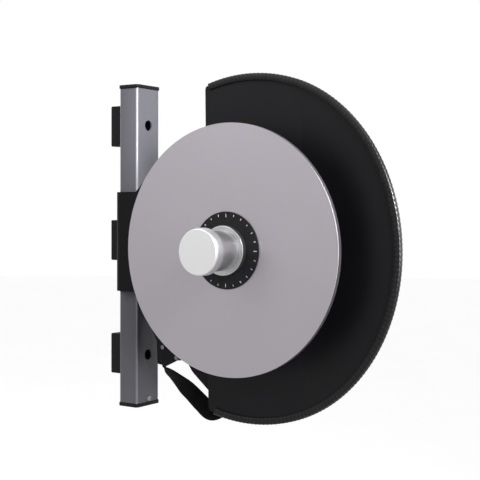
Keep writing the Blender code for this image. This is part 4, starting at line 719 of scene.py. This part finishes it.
disc_metal.vary(brushed, (0.352, 0.331, 0.360), (0.392, 0.368, 0.400), 0.36, 0.46)
disc_metal.bump(rings, distance=0.00002, strength=0.35)
fit(spun("flywheel_disc_piece", disc_profile, steps=192, sharp=25),
    disc_metal, "flywheel", "disc_aluminium", "flywheel_disc")


# Hub ring: a thin black anodised ring round the knob, with plain white ticks at even steps.
# It is held against the disc by the knob's collar.
ring_low, ring_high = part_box("hub_ring")
ring_radius = (ring_high[0] - ring_low[0]) / 2
ring_front = -ring_low[1]
ring_back = -ring_high[1]
ring_profile = [(ring_radius, ring_front), (ring_radius, ring_back), (shaft_bore, ring_back),
                (shaft_bore, ring_front)]
ring_black = Look("black_anodised", Specular_IOR_Level=0.12)
ring_black.vary(ring_black.noise(200, 3), (0.008, 0.008, 0.009), (0.018, 0.018, 0.020), 0.30, 0.42)
fit(spun("hub_ring_piece", ring_profile, steps=128, edge=0.0002),
    ring_black, "flywheel", "hub_ring_black", "hub_ring")
tick_count = 24
ticks_per_long_one = 6
long_tick = 0.0048
short_tick = 0.0026
tick_width = 0.0010
tick_thickness = 0.00006
tick_inset = 0.0030
tick_paint = Look("white_tick_paint", Base_Color=(0.7, 0.7, 0.7))
tick_paint.set(Roughness=tick_paint.between(tick_paint.noise(500), 0.5, 0.7))
build = bmesh.new()
for number in range(tick_count):
    length = short_tick if number % ticks_per_long_one else long_tick
    made = bmesh.ops.create_cube(build, size=1)
    bmesh.ops.scale(build, verts=made["verts"], vec=(length, tick_thickness, tick_width))
    bmesh.ops.translate(build, verts=made["verts"], vec=(ring_radius - tick_inset - length / 2, 0, 0))
    bmesh.ops.rotate(build, verts=made["verts"], cent=(0, 0, 0),
                     matrix=Matrix.Rotation(2 * math.pi * number / tick_count, 3, "Y"))
bmesh.ops.translate(build, verts=build.verts, vec=(shaft.x, -ring_front, shaft.z))
fit(piece_from("hub_ring_ticks", build), tick_paint, "flywheel", "hub_ring_black")


# Spool and its roll: a black filled-plastic spool, with the webbing wound on it in layers.
# The roll's sides show each turn of the strap.
spool_plastic = grained_plastic("black_spool_plastic", (0.014, 0.014, 0.015), 0.45)
fit(smooth_copy("spool", edge=0.0005), spool_plastic, "flywheel", "spool_plastic", "spool")
roll_inner = 0.0253
roll_layers = 11
layer = (roll_radius - roll_inner) / roll_layers
groove = 0.0005
roll_side = []
for number in range(roll_layers):
    for share, sunk in ((0.06, groove), (0.3, 0), (0.7, 0), (0.94, groove)):
        roll_side.append((roll_inner + layer * (number + share), strap_width / 2 - sunk))
roll_profile = [(radius, spool_offset + away) for radius, away in roll_side]
roll_profile += [(radius, spool_offset - away) for radius, away in reversed(roll_side)]
roll_look = Look("wound_webbing", Sheen_Weight=0.03, Specular_IOR_Level=0.08)
roll_threads = roll_look.noise(1, 2, roll_look.stretched((900, 900, 900)))
roll_look.vary(roll_threads, (0.002, 0.002, 0.0025), (0.008, 0.008, 0.009), 0.7, 0.88)
roll_look.bump(roll_threads, distance=0.0002, strength=0.7)
fit(spun("strap_roll_piece", roll_profile), roll_look, "flywheel", "strap_webbing", "strap_roll")


# Locking knob: turned from aluminium bar, satin anodised, in three parts.
# The collar clamps the disc, and pulling the grip out against its spring frees the balls in the shaft.
lathe_lines = 1300


def turned_aluminium(title, dark, light, rough, faced):
    """Aluminium with the fine lines that a lathe leaves. They run round the sides, and round flat
    faces too where faced is 1."""
    look = Look(title, Metallic=1.0)
    apart = look.apart_from(shaft)
    out = (apart["X"] * apart["X"] + apart["Z"] * apart["Z"]).math("SQRT")
    lines = look.rings_of_noise((out * faced + apart["Y"]) * lathe_lines, 2)
    look.vary(lines, dark, light, rough - 0.03, rough + 0.03)
    look.bump(lines, distance=0.00012, strength=0.8)
    return look


def knob_part(node, profile, look, body, edge=0.0, closed=True):
    made = spun(node + "_piece", profile, steps=128, edge=edge, closed=closed)
    return fit(made, look, body, "knob_aluminium", node)


knob_metal = turned_aluminium("satin_knob_aluminium", (0.62, 0.62, 0.625), (0.68, 0.68, 0.685), 0.45, 0)
# The collar and neck are darker copies of the head's aluminium: painted shade, where the head shades them.
shaded_collar_metal = turned_aluminium("shaded_collar_aluminium", (0.38, 0.38, 0.385), (0.44, 0.44, 0.445), 0.34, 1)
shaded_neck_metal = turned_aluminium("shaded_neck_aluminium", (0.54, 0.54, 0.545), (0.59, 0.59, 0.595), 0.36, 1)

collar_low, collar_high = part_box("knob_collar")
cage_front = -collar_low[1]
cage_radius = 0.0166
collar_back = -collar_high[1]
collar_thickness = 0.0085
collar_front = collar_back + collar_thickness
collar_radius = 0.03325
knob_part("knob_collar", [
    (cage_radius, cage_front), (cage_radius, collar_front), (collar_radius, collar_front),
    (collar_radius, collar_back), (shaft_bore, collar_back), (shaft_bore, cage_front),
], shaded_collar_metal, "flywheel", edge=0.0010)

sleeve_low, sleeve_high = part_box("grip_sleeve")
neck_radius = (sleeve_high[0] - sleeve_low[0]) / 2
neck_back = collar_front + clearance
neck_front = -sleeve_low[1]
cavity_radius = 0.022
land_radius = 0.0169
land_thickness = 0.006
land_back = -sleeve_high[1]
land_front = land_back + land_thickness
knob_part("grip_sleeve", [
    (neck_radius, neck_front), (neck_radius, neck_back), (cavity_radius, neck_back),
    (cavity_radius, land_back), (land_radius, land_back), (land_radius, land_front),
    (cavity_radius, land_front), (cavity_radius, neck_front),
], shaded_neck_metal, "lock_knob", edge=0.0004)

head_low, head_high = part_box("grip_head")
head_radius = (head_high[0] - head_low[0]) / 2
head_front = -head_low[1]
head_thickness = 0.0157
head_back = head_front - head_thickness
head_edge = 0.0006
shoulder_in = 0.0024
shoulder_back = 0.006
spigot_radius = 0.0217
spigot_length = 0.003
spigot_back = head_back - spigot_length
head_profile = [(0.0, head_front)]
for angle in range(0, 91, 10):
    turn = math.radians(angle)
    head_profile.append((head_radius - shoulder_in * (1 - math.sin(turn)),
                         head_front - shoulder_back * (1 - math.cos(turn))))
head_profile += [(head_radius, head_back + head_edge), (head_radius - head_edge, head_back),
                 (spigot_radius, head_back), (spigot_radius, spigot_back), (0.0, spigot_back)]
knob_part("grip_head", head_profile, knob_metal, "lock_knob", closed=False)

for node in ("locking_ball_1", "locking_ball_2", "locking_ball_3", "spring_retainer"):
    fit(smooth_copy(node), ground_steel, "flywheel", "bearing_steel", node)
knob_spring = smooth_copy("knob_spring", sharp=60)
fit(knob_spring, ground_steel, "flywheel", "bearing_steel", "knob_spring")
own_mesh(knob_spring)
